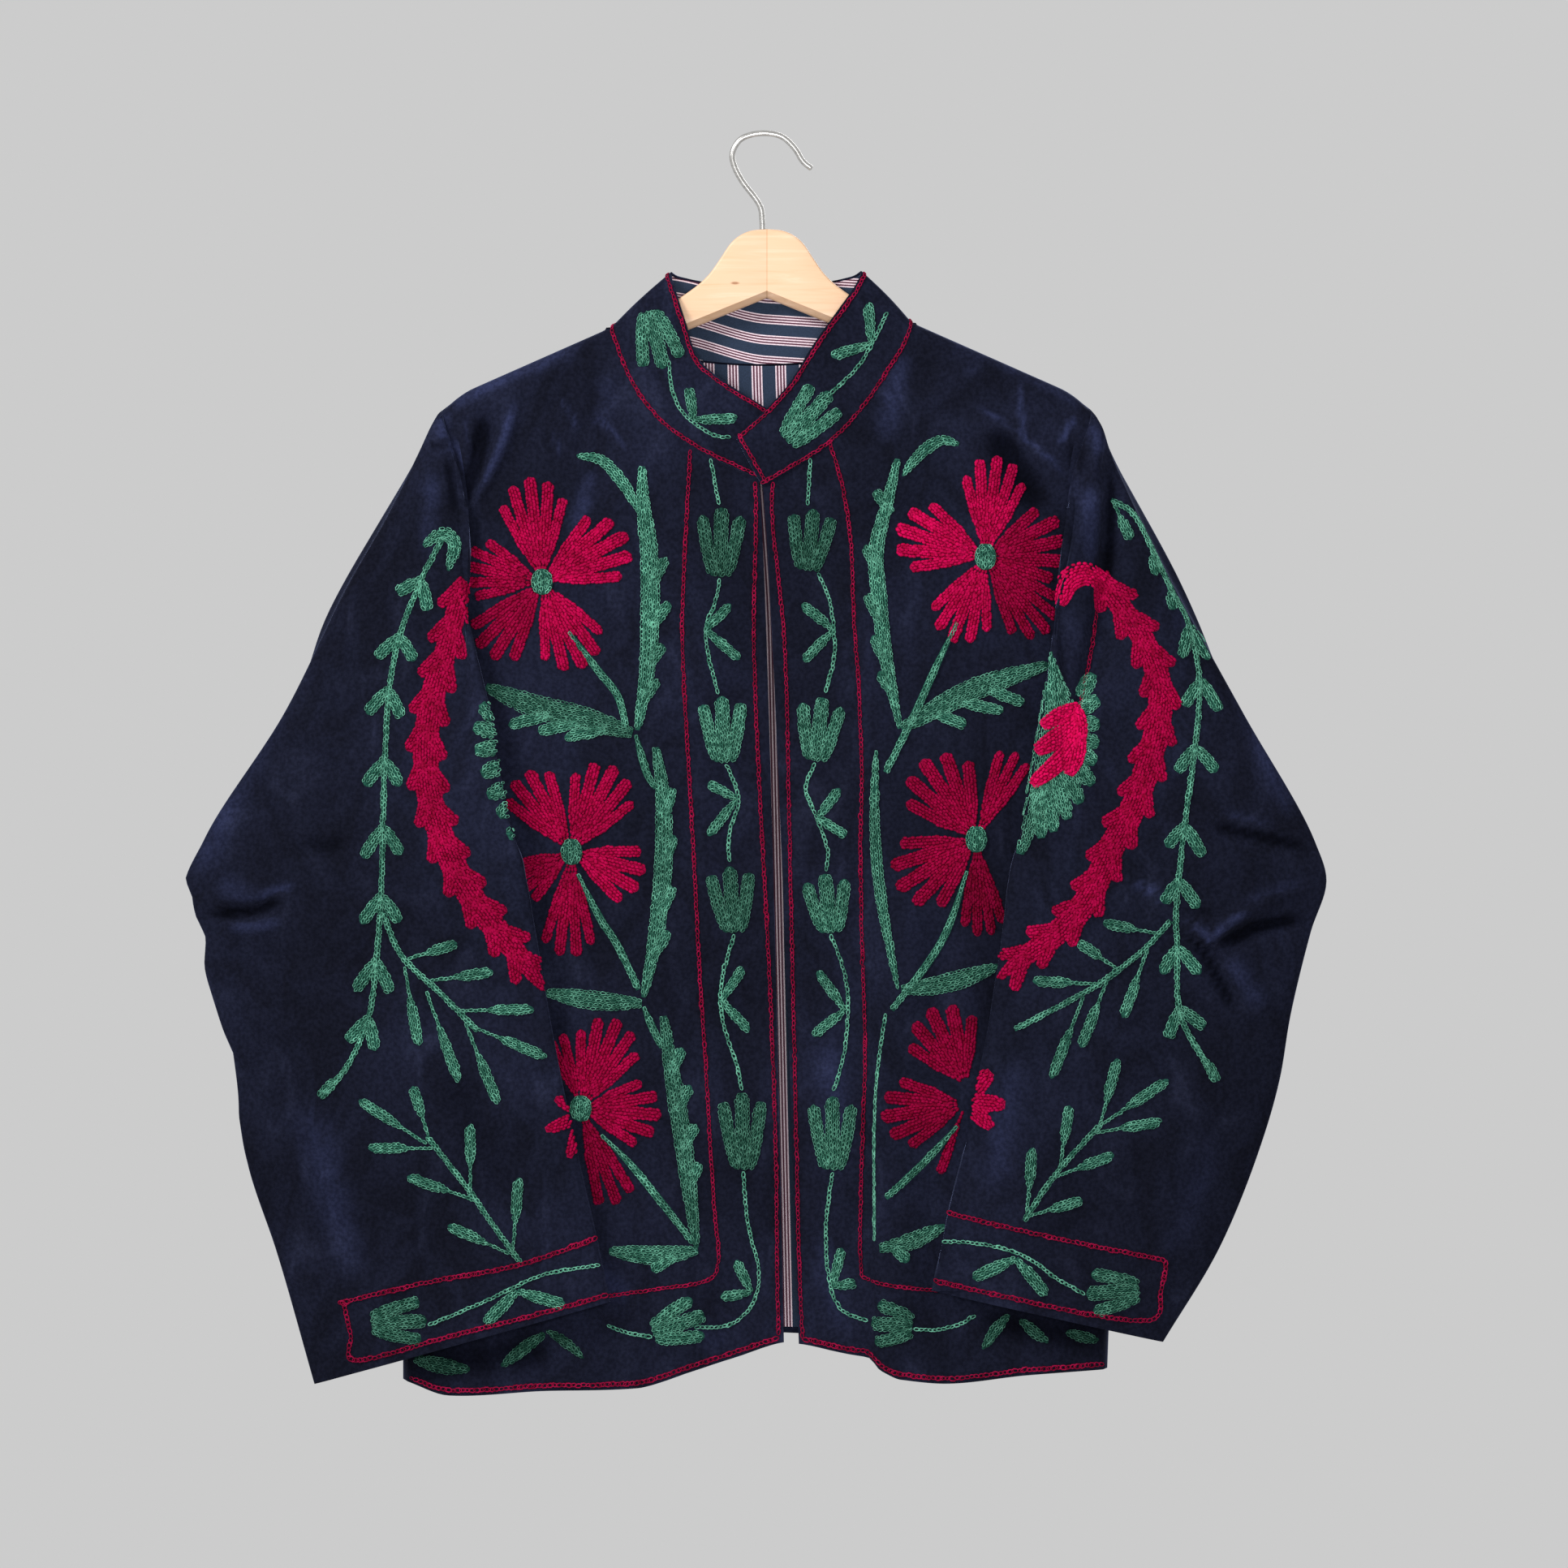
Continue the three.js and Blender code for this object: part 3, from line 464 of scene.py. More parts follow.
def clear_of_front(half, x, y, z, rest, reach):
    """Brings a sleeve's points forward until they clear the front's face, also a little past its edge."""
    edge = body_edge(half, z, "front")
    past = np.abs(x) - edge
    on_front = half.side * np.minimum(np.abs(x), edge - SEAM)
    limit = front_y(on_front, z) - rest
    released = smooth((past - reach / 4) / (reach - reach / 4))
    return mix(np.minimum(y, limit), y, released)


def sleeve_ring(half, rows, ring, angle):
    """The points of a sleeve's ring at angles round it, from the armhole's rings to the table's rows."""
    if ring < SEAM_RINGS:
        point = armhole_point(half, angle)
        point += armhole_run(half, angle) * (0 if ring == 0 else SLEEVE_LIP)
        if ring == SEAM_RINGS - 1:
            point[:, 1] -= SLEEVE_TURN * turn_share(angle)
        return point
    row = ring - SEAM_RINGS
    out_x, out_z, out_y, in_x, in_z, in_y, lean, front, spread, rear = rows[row]
    power = 2 / SLEEVE_POWER
    cosine, sine = np.cos(angle), np.sin(angle)
    along = (1 + np.sign(cosine) * np.abs(cosine) ** power) / 2
    bulge = np.abs(sine) ** power
    is_front = sine > 0
    x = half.side * (mix(in_x, out_x, along) + np.where(is_front, -lean, spread) * sine * sine)
    y = mix(in_y, out_y, along) + np.where(is_front, -front, rear) * bulge
    z = mix(in_z, out_z, along)
    rest = PLEAT_RESTS[row] if row < len(PLEAT_RESTS) else REST.front
    ahead = clear_of_front(half, x, y, z, rest, REST_REACH.front)
    outside = pass_outside(half, x, z)
    behind = clear_of_front(half, outside, y, z, REST.back, REST_REACH.back)
    return np.stack([np.where(is_front, x, outside), np.where(is_front, ahead, behind), z], axis=-1)


# How much the first ring keeps of its smooth run, so that the pleat stays flat, and the ring that
# keeps all of it.
SEAM_TANGENT = 0.35
FREE_RING = 6


def sleeve_grid(half, rows, columns=120, count=156):
    """Fine rings between the table's own, on a smooth run down the sleeve."""
    angle = np.arange(columns) * 2 * np.pi / columns
    rings = np.array([sleeve_ring(half, rows, ring, angle) for ring in range(len(rows) + SEAM_RINGS)])
    step = np.linalg.norm(np.diff(rings, axis=0), axis=2).mean(axis=1)
    station = np.concatenate([[0], np.cumsum(step)])
    keep = mix(SEAM_TANGENT, 1, smooth(np.arange(len(rings)) / FREE_RING))
    tangent = np.gradient(rings, station, axis=0) * keep[:, None, None]
    fine = np.linspace(0, station[-1], count)
    k = np.clip(np.searchsorted(station, fine) - 1, 0, len(station) - 2)
    long = (station[k + 1] - station[k])[:, None, None]
    t = (fine - station[k])[:, None, None] / long
    start = (1 + 2 * t) * (1 - t) ** 2 * rings[k] + t * (1 - t) ** 2 * long * tangent[k]
    finish = t * t * (3 - 2 * t) * rings[k + 1] + t * t * (t - 1) * long * tangent[k + 1]
    return start + finish, angle


# How far the left sleeve's inner fold lies nearer to the middle, at each height; between the two x
# below, this fades out.
DRAWN_IN = [(-250, 0), (-275, 2.5), (-305, 8), (-335, 5), (-370, 4), (-420, 5), (-465, 4), (-530, 0)]
DRAWN_FROM = 196
DRAWN_UNTIL = 240

# How far the right sleeve's outer fold stands out, or in below 0, at each height.
ELBOW_EDGE = [
    (-455, 0), (-467, 1.0), (-478, 2.2), (-489, -1.8), (-502, 0), (-516, -1.2), (-526, 1.8), (-534, 3.9),
    (-542, 3.8), (-560, 1.6), (-576, 0), (-590, -2.6), (-604, -1), (-630, 1.6), (-660, 0),
]
ELBOW_EDGE_DEEP = 14  # from the outer fold to where its unevenness has faded
SLEEVE_TOP_SLOPE = 0.8  # of the line, from the shoulder's tip, that no point of a sleeve stands above


def below_shoulder(grid, by=0.0):
    """Keeps a sleeve's points under the line that goes down from the shoulder's tip."""
    past = np.maximum(0, np.abs(grid[..., 0]) - TIP_X)
    grid[..., 2] = np.minimum(grid[..., 2], TIP_Z - SLEEVE_TOP_SLOPE * past - by)
    return grid


def uneven_elbow(grid):
    """Moves the points near each ring's outermost one sideways."""
    out = read_heights(ELBOW_EDGE, grid[..., 2])
    inside = grid[..., 0] - grid[..., 0].min(axis=1, keepdims=True)
    grid[..., 0] -= out * smooth(1 - inside / ELBOW_EDGE_DEEP)
    return grid


def draw_in(grid):
    """Moves the inner fold towards the middle."""
    nearer = read_heights(DRAWN_IN, grid[..., 2])
    grid[..., 0] -= nearer * smooth((DRAWN_UNTIL - grid[..., 0]) / (DRAWN_UNTIL - DRAWN_FROM))
    return grid


# ---------- creases and gentle unevenness ----------
CREASE_FADE = 0.3  # share of a crease's length over which each of its ends fades in


def relief(x, z, creases):
    """Height of all the creases of a table together at each place."""
    place = np.stack([x.ravel(), z.ravel()], axis=1)
    total = np.zeros(len(place))
    for points, wide, high, *other in creases:
        line = smooth_line(points)
        nearest = np.full(len(place), np.inf)
        turn = np.zeros(len(place))
        share = np.zeros(len(place))
        count = len(line) - 1
        for k in range(count):
            start, run = line[k], line[k + 1] - line[k]
            t = clamp01((place - start) @ run / (run @ run))
            away = place - (start + t[:, None] * run)
            distance = np.hypot(away[:, 0], away[:, 1])
            closer = distance < nearest
            nearest = np.where(closer, distance, nearest)
            turn = np.where(closer, run[0] * away[:, 1] - run[1] * away[:, 0], turn)
            share = np.where(closer, (k + t) / count, share)
        width = np.where(turn > 0, wide, other[0] if other else wide)
        ends = smooth(share / CREASE_FADE) * smooth((1 - share) / CREASE_FADE)
        total += high * ends * np.exp(-((nearest / width) ** 2))
    return total.reshape(x.shape)


# Waves of the cloth: length, way they run in and phase. A long wave is a high one.
WAVES = [(95, 0.2, 1.0), (71, 1.3, 2.2), (52, 2.4, 0.4), (38, 0.8, 4.1), (29, 1.9, 5.3)]
LONGEST_WAVE = WAVES[0][0]


def uneven(x, z, high):
    """A gentle waviness of the cloth, the same on every run."""
    total = 0
    for length, way, phase in WAVES:
        run = x * math.cos(way) + z * math.sin(way)
        total = total + np.sin(2 * np.pi * run / length + phase) * length / LONGEST_WAVE
    return high * total / 2


# Soft ridges, or troughs below 0: points (x, z) of a line, width, height, and its other side's own width.
CREASES = {
    "front_left": [
        ([(130, -172), (145, -181), (165, -196), (184, -211), (194, -224)], 3, 2.6, 8),
        ([(148, -186), (160, -215), (176, -245)], 11, -4.0, 12),
        ([(199, -180), (193, -190), (187, -202)], 3, 3.0),
        ([(64, -215), (68, -300), (66, -400), (70, -470)], 16, 3.0, 10),
        ([(164, -158), (163, -180), (160, -205)], 7, 1.6),
        ([(120, -480), (132, -600), (138, -780)], 20, 4.0, 13),
        ([(182, -520), (176, -640), (180, -790)], 14, 3.0, 20),
        ([(100, -640), (104, -700), (106, -800)], 12, -2.5),
        ([(40, -560), (36, -660), (40, -760)], 14, 2.0),
    ],
    "front_right": [
        ([(-160, -158), (-164, -182), (-170, -197), (-178, -217), (-194, -249), (-201, -290)], 4, 7.0, 14),
        ([(-176, -170), (-182, -195), (-192, -222), (-204, -262)], 8, -8.0, 7),
        ([(-134, -172), (-126, -190), (-120, -210)], 4, 3.5, 8),
        ([(-114, -150), (-108, -175), (-110, -200)], 8, -1.6),
        ([(-86, -190), (-96, -240), (-92, -300)], 14, 2.2, 9),
        ([(-110, -520), (-118, -640), (-124, -800)], 18, 3.6, 12),
        ([(-176, -540), (-172, -660), (-182, -800)], 16, 3.4, 22),
        ([(-148, -600), (-150, -700), (-152, -800)], 12, -2.4),
    ],
    "back_panel": [
        ([(-150, -330), (-142, -520), (-150, -790)], 20, 5.0, 28),
        ([(-70, -420), (-78, -600), (-70, -780)], 16, 4.0, 22),
        ([(10, -250), (4, -480), (12, -775)], 26, 4.0, 18),
        ([(92, -380), (86, -560), (96, -780)], 18, 4.6, 26),
        ([(160, -450), (166, -600), (158, -785)], 22, 4.0, 15),
        ([(-60, -152), (0, -166), (60, -152)], 9, 1.6),
        ([(-170, -190), (-120, -230), (-80, -290)], 12, 2.6, 8),
        ([(175, -195), (130, -240), (90, -300)], 12, 2.6, 8),
    ],
    "sleeve_left": [
        (
            [(219, -200), (217, -237), (215, -272), (211, -306), (206, -332), (198, -365), (192, -392)], 13,
            -7.5, 3,
        ),
        ([(206, -196), (204, -237), (200, -272), (197, -306), (190, -340), (183, -372)], 9, 3.5, 8),
        ([(204, -192), (199, -215), (196, -237)], 3, 4.0, 5),
        ([(217, -188), (212, -204), (210, -222)], 4, 4.4, 4),
        ([(190, -186), (195, -178), (199, -176)], 4, 2.0),
        ([(278, -443), (300, -447), (325, -453), (354, -460)], 4, -3.4, 5),
        ([(264, -499), (276, -510), (284, -516), (298, -504), (318, -494), (356, -483)], 4, 5.0, 5),
        ([(282, -521), (300, -515), (318, -508), (354, -504)], 4, -5.5, 5),
        ([(265, -505), (280, -526), (292, -547), (300, -566)], 4, -3.5, 5),
        ([(294, -526), (306, -544), (320, -564)], 8, 2.6, 6),
        ([(280, -600), (270, -650), (252, -700)], 12, 2.8, 18),
        ([(222, -590), (212, -660), (196, -715)], 12, -2.0, 18),
        ([(176, -560), (166, -630), (152, -700)], 14, 2.4, 20),
    ],
    "sleeve_right": [
        ([(-222, -205), (-214, -250), (-205, -300)], 8, 2.6, 12),
        ([(-363, -500), (-340, -500), (-322, -497), (-306, -486)], 4, -5.0, 5),
        ([(-356, -488), (-336, -490), (-318, -487)], 8, 3.0, 4),
        ([(-352, -510), (-330, -509), (-308, -504)], 4, 3.6, 6),
        ([(-346, -530), (-322, -528), (-306, -520)], 6, -2.0, 8),
        ([(-304, -452), (-284, -457), (-264, -450)], 7, -2.5, 9),
        ([(-338, -560), (-312, -575), (-290, -570)], 6, 2.4, 5),
        ([(-300, -610), (-288, -660), (-272, -710)], 12, 3.0, 18),
        ([(-240, -600), (-228, -680), (-206, -740)], 12, -2.2, 18),
        ([(-186, -560), (-172, -640), (-156, -720)], 14, 2.6, 20),
    ],
}
SEAM_FADE = 10  # length over which creases fade in from a seam

# Painted highlights and painted shade on the velvet, partly pile that lies another way: points of a stroke,
# width, and how much lighter it is painted, or darker below 0.
NAP_AND_PAINTED_LIGHT = {
    "front_left": [
        ([(96, -122), (150, -147), (190, -167), (206, -180)], 4, 0.6),
        ([(88, -136), (82, -165), (74, -205)], 9, 0.6), ([(163, -154), (163, -178), (166, -202)], 2.2, 0.8),
        ([(130, -172), (145, -181), (165, -196), (184, -211), (194, -224)], 2, 0.6),
        ([(146, -183), (152, -202), (166, -226), (182, -252)], 12, -0.9),
        ([(199, -180), (193, -190), (187, -202)], 2, 0.9),
        ([(197, -196), (196, -207), (198, -220)], 4, -0.8),
        ([(118, -136), (128, -146), (136, -158)], 7, 0.4), ([(46, -540), (42, -610), (50, -680)], 13, 0.35),
        ([(102, -490), (104, -540), (98, -580)], 15, -0.45),
        ([(150, -560), (146, -600), (140, -660)], 10, -0.5), ([(36, -700), (40, -745), (56, -775)], 9, 0.3),
        ([(130, -757), (170, -766), (232, -776)], 11, -0.9),
    ],
    "front_right": [
        ([(-96, -122), (-150, -147), (-190, -167), (-206, -180)], 5, 0.7),
        ([(-181, -176), (-184, -200), (-190, -225), (-198, -250)], 7, -1.0),
        ([(-161, -168), (-165, -186), (-173, -207), (-184, -227), (-195, -250)], 3, 0.7),
        ([(-193, -178), (-192, -198), (-191, -220)], 2, 0.6),
        ([(-135, -166), (-126, -180), (-119, -193)], 2, 0.7), ([(-138, -190), (-131, -209)], 2, 0.6),
        ([(-112, -212), (-117, -235), (-125, -260)], 6, 0.8),
        ([(-164, -152), (-140, -146), (-118, -138)], 8, 0.45),
        ([(-108, -150), (-104, -172), (-110, -192)], 9, 0.4),
        ([(-116, -182), (-101, -189), (-88, -206)], 2, 0.5),
        ([(-24, -240), (-26, -400), (-20, -560)], 20, -0.3),
        ([(-140, -556), (-124, -584), (-112, -600)], 13, -0.5),
        ([(-118, -726), (-100, -738), (-84, -746)], 9, 0.5),
        ([(-64, -750), (-40, -768), (-24, -776)], 9, 0.35),
        ([(-250, -786), (-180, -785), (-130, -776)], 14, -0.9),
    ],
    "back_panel": [
        ([(-150, -240), (-140, -360), (-150, -520)], 26, 0.4),
        ([(96, -300), (88, -440), (96, -600)], 24, 0.4), ([(20, -560), (10, -680), (20, -760)], 22, -0.4),
    ],
    "sleeve_left": [
        ([(240, -234), (262, -290), (276, -336)], 10, 0.4),
        ([(298, -340), (320, -395), (344, -446)], 10, 0.55),
        ([(279, -443), (300, -447), (325, -453), (354, -460)], 3.6, -1.0),
        ([(285, -436), (305, -440), (328, -446)], 4, 0.4),
        ([(283, -520), (300, -514), (318, -507), (354, -503)], 3.8, -1.2),
        ([(266, -501), (276, -510), (284, -516), (298, -505), (316, -496)], 3, 1.2),
        ([(300, -502), (318, -494), (355, -484)], 3, -0.7),
        ([(298, -496), (318, -488), (348, -479)], 6, 0.4),
        ([(265, -506), (280, -527), (292, -548), (300, -568)], 4, -0.9),
        ([(292, -526), (306, -545), (320, -564)], 8, 0.4),
        ([(231, -479), (246, -486), (259, -493)], 3, 0.9), ([(262, -497), (290, -500)], 4, -0.6),
        ([(156, -584), (150, -640), (138, -688)], 10, 0.4),
        ([(290, -630), (268, -700), (250, -712)], 10, 0.35),
        ([(205, -222), (209, -250), (208, -282)], 7, 0.6),
        ([(220, -208), (221, -240), (219, -280), (214, -312)], 3, -0.9),
        ([(206, -184), (211, -196), (214, -208)], 5, 0.5),
        ([(203, -198), (201, -210), (201, -222)], 3, -0.8),
    ],
    "sleeve_right": [
        ([(-296, -320), (-332, -398), (-354, -450), (-364, -484)], 13, 0.55),
        ([(-354, -476), (-336, -487), (-316, -494)], 9, 0.4),
        ([(-348, -508), (-326, -508), (-308, -504)], 4, 0.5),
        ([(-366, -500), (-340, -500), (-322, -497), (-306, -486)], 3.6, -1.0),
        ([(-325, -492), (-314, -485), (-300, -483)], 3, 0.8),
        ([(-302, -452), (-283, -457), (-266, -450)], 6, -0.5),
        ([(-294, -610), (-276, -680), (-262, -745)], 14, 0.45),
        ([(-210, -570), (-184, -640), (-160, -700)], 18, -0.5),
        ([(-203, -174), (-208, -190), (-205, -216)], 5, 0.5),
        ([(-203, -194), (-196, -207), (-191, -220)], 3, 0.9), ([(-218, -200), (-203, -200)], 3, -0.9),
        ([(-206, -203), (-203, -225), (-200, -247)], 3.6, -0.9),
        ([(-213, -212), (-216, -245), (-219, -280)], 7, 0.45),
    ],
}
RIDGE_PAINTED_LIGHT = 0.05  # painted highlight on ridges and painted shade in troughs, for each millimetre that a crease stands up


def nap_and_painted_light_of(name, grid):
    """How light the velvet is painted, from 0 to 1, at each point of a grid: pile lying another way,
    painted highlights and painted shade.
    """
    x, z = grid[..., 0], grid[..., 2]
    change = relief(x, z, NAP_AND_PAINTED_LIGHT[name]) + RIDGE_PAINTED_LIGHT * relief(x, z, CREASES[name])
    return 0.5 + 0.5 * np.clip(change, -1, 1)


PANEL_WAVES = 1.0
SLEEVE_WAVES = 1.1
SLEEVE_FADE = Named(start=0.03, over=0.06)  # shares of a sleeve's rings over which creases fade in
LAYER_SOFT = 0.45  # how soon creases fade towards a sleeve's folds


def crease_panel(name, grid, face):
    """Moves a panel's points out by its creases."""
    way = -1 if face == "front" else 1
    x, z = grid[..., 0], grid[..., 2]
    from_side = by_side(x, lambda half: body_edge(half, z, face)) - np.abs(x)
    from_top = grid[0, :, 2] - z
    fade = smooth(from_side / SEAM_FADE) * smooth(from_top / SEAM_FADE)
    grid[..., 1] += way * fade * (relief(x, z, CREASES[name]) + uneven(x, z, PANEL_WAVES))
    return grid


def crease_sleeve(name, grid, angle):
    """The front layer takes the creases, and the back layer takes them the other way round."""
    x, z = grid[..., 0], grid[..., 2]
    high = relief(x, z, CREASES[name]) + uneven(x, z, SLEEVE_WAVES)
    fade = smooth((np.arange(len(grid)) / len(grid) - SLEEVE_FADE.start) / SLEEVE_FADE.over)[:, None]
    layer = np.sign(np.sin(angle)) * smooth(np.abs(np.sin(angle)) / LAYER_SOFT)
    grid[..., 1] -= fade * layer * high
    return grid


# ---------- meshes ----------
def add_mesh(name, points, faces, material, sharp=None):
    """A mesh object from points in millimetres."""
    mesh = bpy.data.meshes.new(name)
    mesh.from_pydata((np.asarray(points) * MM).tolist(), [], [list(face) for face in faces])
    mesh.polygons.foreach_set("use_smooth", np.ones(len(mesh.polygons), bool))
    if sharp:
        mesh.set_sharp_from_angle(angle=math.radians(sharp))
    mesh.materials.append(material)
    made = bpy.data.objects.new(name, mesh)
    bpy.context.scene.collection.objects.link(made)
    return made


def set_values(made, name, values):
    """Gives each point of a mesh a number that its material reads."""
    attribute = made.data.attributes.new(name, "FLOAT", "POINT")
    attribute.data.foreach_set("value", np.asarray(values, np.float32))


def grid_normals(grid, around):
    along = np.gradient(grid, axis=0)
    if around:
        across = np.roll(grid, -1, axis=1) - np.roll(grid, 1, axis=1)
    else:
        across = np.gradient(grid, axis=1)
    normal = np.cross(across, along)
    return normal / np.linalg.norm(normal, axis=2, keepdims=True)


def quads_of(index):
    """The faces between neighbouring points of a grid of point numbers."""
    corners = index[:-1, :-1], index[:-1, 1:], index[1:, 1:], index[1:, :-1]
    return np.stack([corner.ravel() for corner in corners], axis=1)


CLOTH_SHARP = 55  # degrees from which an edge of a cloth's wall is sharp


def wall(name, grid, thick, material, inset=0.0, around=False, flip=False, nap_and_painted_light=0.5):
    """
    A closed thin wall: the grid outside, a copy moved in by the thickness, and rims round its edges.
    The nap of each point, with its painted highlights and painted shade, goes with it, for the velvet.
    """
    normals = grid_normals(grid, around) * (-1 if flip else 1)
    rows, columns = grid.shape[:2]
    outer = np.arange(rows * columns).reshape(rows, columns)
    if around:
        outer = np.concatenate([outer, outer[:, :1]], axis=1)
    inner = outer + rows * columns
    rims = [quads_of(np.stack([inner[0], outer[0]])), quads_of(np.stack([outer[-1], inner[-1]]))]
    if not around:
        rims.append(quads_of(np.stack([outer[:, 0], inner[:, 0]])))
        rims.append(quads_of(np.stack([inner[:, -1], outer[:, -1]])))
    faces = np.concatenate([quads_of(outer), quads_of(inner)[:, ::-1], *rims])
    if flip:
        faces = faces[:, ::-1]
    surface = grid - normals * inset
    inside = surface - normals * thick
    if around:
        inside = below_shoulder(inside, thick)
    points = np.concatenate([surface.reshape(-1, 3), inside.reshape(-1, 3)])
    made = add_mesh(name, points, faces, material, sharp=CLOTH_SHARP)
    set_values(made, "nap_and_painted_light", np.tile(np.broadcast_to(nap_and_painted_light, grid.shape[:2]).ravel(), 2))
    return Named(piece=made, tree=BVHTree.FromPolygons(points.tolist(), faces.tolist()))


def tube(name, points, radius, sides, material):
    """A round wire along a line of points in the plane of x and z, thinner at its two ends."""
    run = np.gradient(points, axis=0)
    run /= np.linalg.norm(run, axis=1, keepdims=True)
    side = np.cross(run, (0, 1, 0))
    side /= np.linalg.norm(side, axis=1, keepdims=True)
    turn = np.arange(sides) * 2 * np.pi / sides
    swell = np.full(len(points), radius)
    swell[[0, -1]] /= 2
    ring = side[:, None] * np.cos(turn)[:, None] + np.array((0, 1, 0)) * np.sin(turn)[:, None]
    return loft(name, points[:, None] + ring * swell[:, None, None], material)


def loft(name, rings, material, sharp=None):
    """A closed solid through rings of points, with flat ends."""
    count, sides = rings.shape[:2]
    index = np.arange(count * sides).reshape(count, sides)
    around = np.concatenate([index, index[:, :1]], axis=1)
    faces = [*quads_of(around).tolist(), index[0, ::-1].tolist(), index[-1].tolist()]
    return add_mesh(name, rings.reshape(-1, 3), faces, material, sharp)


# ---------- materials ----------
def new_material(name):
    material = bpy.data.materials.new(name)
    material.use_nodes = True
    tree = material.node_tree
    shader = tree.nodes["Principled BSDF"]
    look = Named(material=material, nodes=tree.nodes, links=tree.links, shader=shader)
    look.place = add_node(look, "TexCoord", {}, "Object")
    return look


def add_node(look, kind, inputs, output, **settings):
    """An output of a new shader node. Each of its inputs is a constant, or the output of another node."""
    made = look.nodes.new("ShaderNode" + kind)
    for name, value in settings.items():
        setattr(made, name, value)
    for socket, value in inputs.items():
        if isinstance(value, bpy.types.NodeSocket):
            look.links.new(value, made.inputs[socket])
        else:
            made.inputs[socket].default_value = value
    return made.outputs[output]


def maths(look, operation, first, second=None):
    """The value of a sum done with one or two numbers or outputs."""
    inputs = {0: first} if second is None else {0: first, 1: second}
    return add_node(look, "Math", inputs, "Value", operation=operation)


def axis_of(look, axis):
    return add_node(look, "SeparateXYZ", {"Vector": look.place}, axis)


def set_shader(look, **values):
    for socket, value in values.items():
        look.shader.inputs[socket.replace("_", " ")].default_value = value


def noise(look, scale, detail=4.0, stretch=None, distortion=0.0):
    """The grey value of a noise whose grains are about 1 / scale metres."""
    place = look.place
    if stretch:
        place = add_node(look, "Mapping", {"Vector": place, "Scale": stretch}, "Vector")
    inputs = {"Vector": place, "Scale": scale, "Detail": detail, "Distortion": distortion}
    return add_node(look, "TexNoise", inputs, "Fac")


def ramp(look, value, stops, interpolation="EASE"):
    """The colours of a ramp, from (place, colour) stops."""
    colour = add_node(look, "ValToRGB", {"Fac": value}, "Color")
    colour.node.color_ramp.interpolation = interpolation
    elements = colour.node.color_ramp.elements
    while len(elements) < len(stops):
        elements.new(0.5)
    for element, (place, shade) in zip(elements, stops):
        element.position = place
        element.color = (*shade, 1)
    return colour


def greys(look, value, *stops):
    """A ramp of greys, from (place, grey) stops."""
    return ramp(look, value, [(place, (grey, grey, grey)) for place, grey in stops])


def multiply(look, first, second):
    inputs = {"Factor": 1.0, "A": first, "B": second}
    return add_node(look, "Mix", inputs, "Result", data_type="RGBA", blend_type="MULTIPLY")


def bump(look, height, strength, distance):
    inputs = {"Strength": strength, "Distance": distance, "Height": height}
    look.links.new(add_node(look, "Bump", inputs, "Normal"), look.shader.inputs["Normal"])


def paint(look, colour, *shades):
    """Gives the shader a colour, darkened or lightened by shades."""
    for shade in shades:
        colour = multiply(look, colour, shade)
    look.links.new(colour, look.shader.inputs["Base Color"])


def velvet_material():
    """Navy velvet, nearly black, with bluish light places: random crushed pile whose lighter tones are
    painted sheen, and painted highlights and painted shade from the nap attribute.
    """
    look = new_material("velvet")
    # Random patches of crushed pile; their lighter bluish tones are painted sheen.
    crushed_pile_and_sheen = noise(look, 1, 10, stretch=(34, 34, 20), distortion=1.2)
    shades = (0.0062, 0.007, 0.0138), (0.0078, 0.009, 0.0186), (0.0125, 0.0144, 0.029)
    navy = list(zip((0.38, 0.55, 0.76), shades))
    # Broad random tones, their bluish lighter side partly painted sheen.
    tones = ramp(look, noise(look, 9, 2), [(0.35, (0.78, 0.78, 0.78)), (0.65, (1.16, 1.18, 1.24))])
    # The nap attribute is painted highlights and painted shade, partly pile lying another way: lighter and
    # bluer above 0.5, darker below it.
    nap_and_painted_light = add_node(look, "Attribute", {}, "Fac", attribute_name="nap_and_painted_light")
    nap_and_painted_light_tones = ramp(look, nap_and_painted_light, [(0.0, (0.3, 0.3, 0.32)), (0.5, (1, 1, 1)), (1.0, (2.5, 2.65, 3.1))])
    pile = noise(look, 420, 3)
    grain = ramp(look, pile, [(0.3, (0.72, 0.72, 0.74)), (0.7, (1.2, 1.2, 1.22))])
    paint(look, ramp(look, crushed_pile_and_sheen, navy), tones, nap_and_painted_light_tones, grain)
    set_shader(look, Roughness=0.95, Specular_IOR_Level=0.03, Sheen_Weight=0.32, Sheen_Roughness=0.28)
    set_shader(look, Sheen_Tint=(0.3, 0.36, 0.66, 1))
    bump(look, pile, 0.35, 0.0006)
    return look.material


def thread_material(name, dark, light, scale=330):
    """Thread from dark to light fibres, with the tone of its stroke, which is partly painted shade and
    painted light.
    """
    look = new_material(name)
    colour = ramp(look, noise(look, scale, 4), [(0.32, dark), (0.66, light)])
    shade = greys(look, noise(look, 34, 2), (0.3, 0.8), (0.7, 1.08))
    # The tone attribute is partly the thread's own tone, partly painted shade below 1 and painted light
    # above 1.
    paint(look, colour, shade, add_node(look, "Attribute", {}, "Color", attribute_name="tone"))
    set_shader(look, Roughness=0.8, Specular_IOR_Level=0.04)
    bump(look, noise(look, 1500, 2), 0.4, 0.0002)
    return look.material


NAVY = (0.02, 0.034, 0.066)
PALE = (0.8, 0.65, 0.72)
ROSE = (0.1, 0.03, 0.055)
# The stripes of the lining: where each starts, as a share of the repeat.
STRIPES = [
    (0.0, PALE), (0.058, ROSE), (0.13, PALE), (0.188, ROSE), (0.26, PALE), (0.318, ROSE), (0.39, PALE),
    (0.448, NAVY),
]
STRIPE_MIDDLE = 0.224  # of the group of pale lines, as a share of the repeat


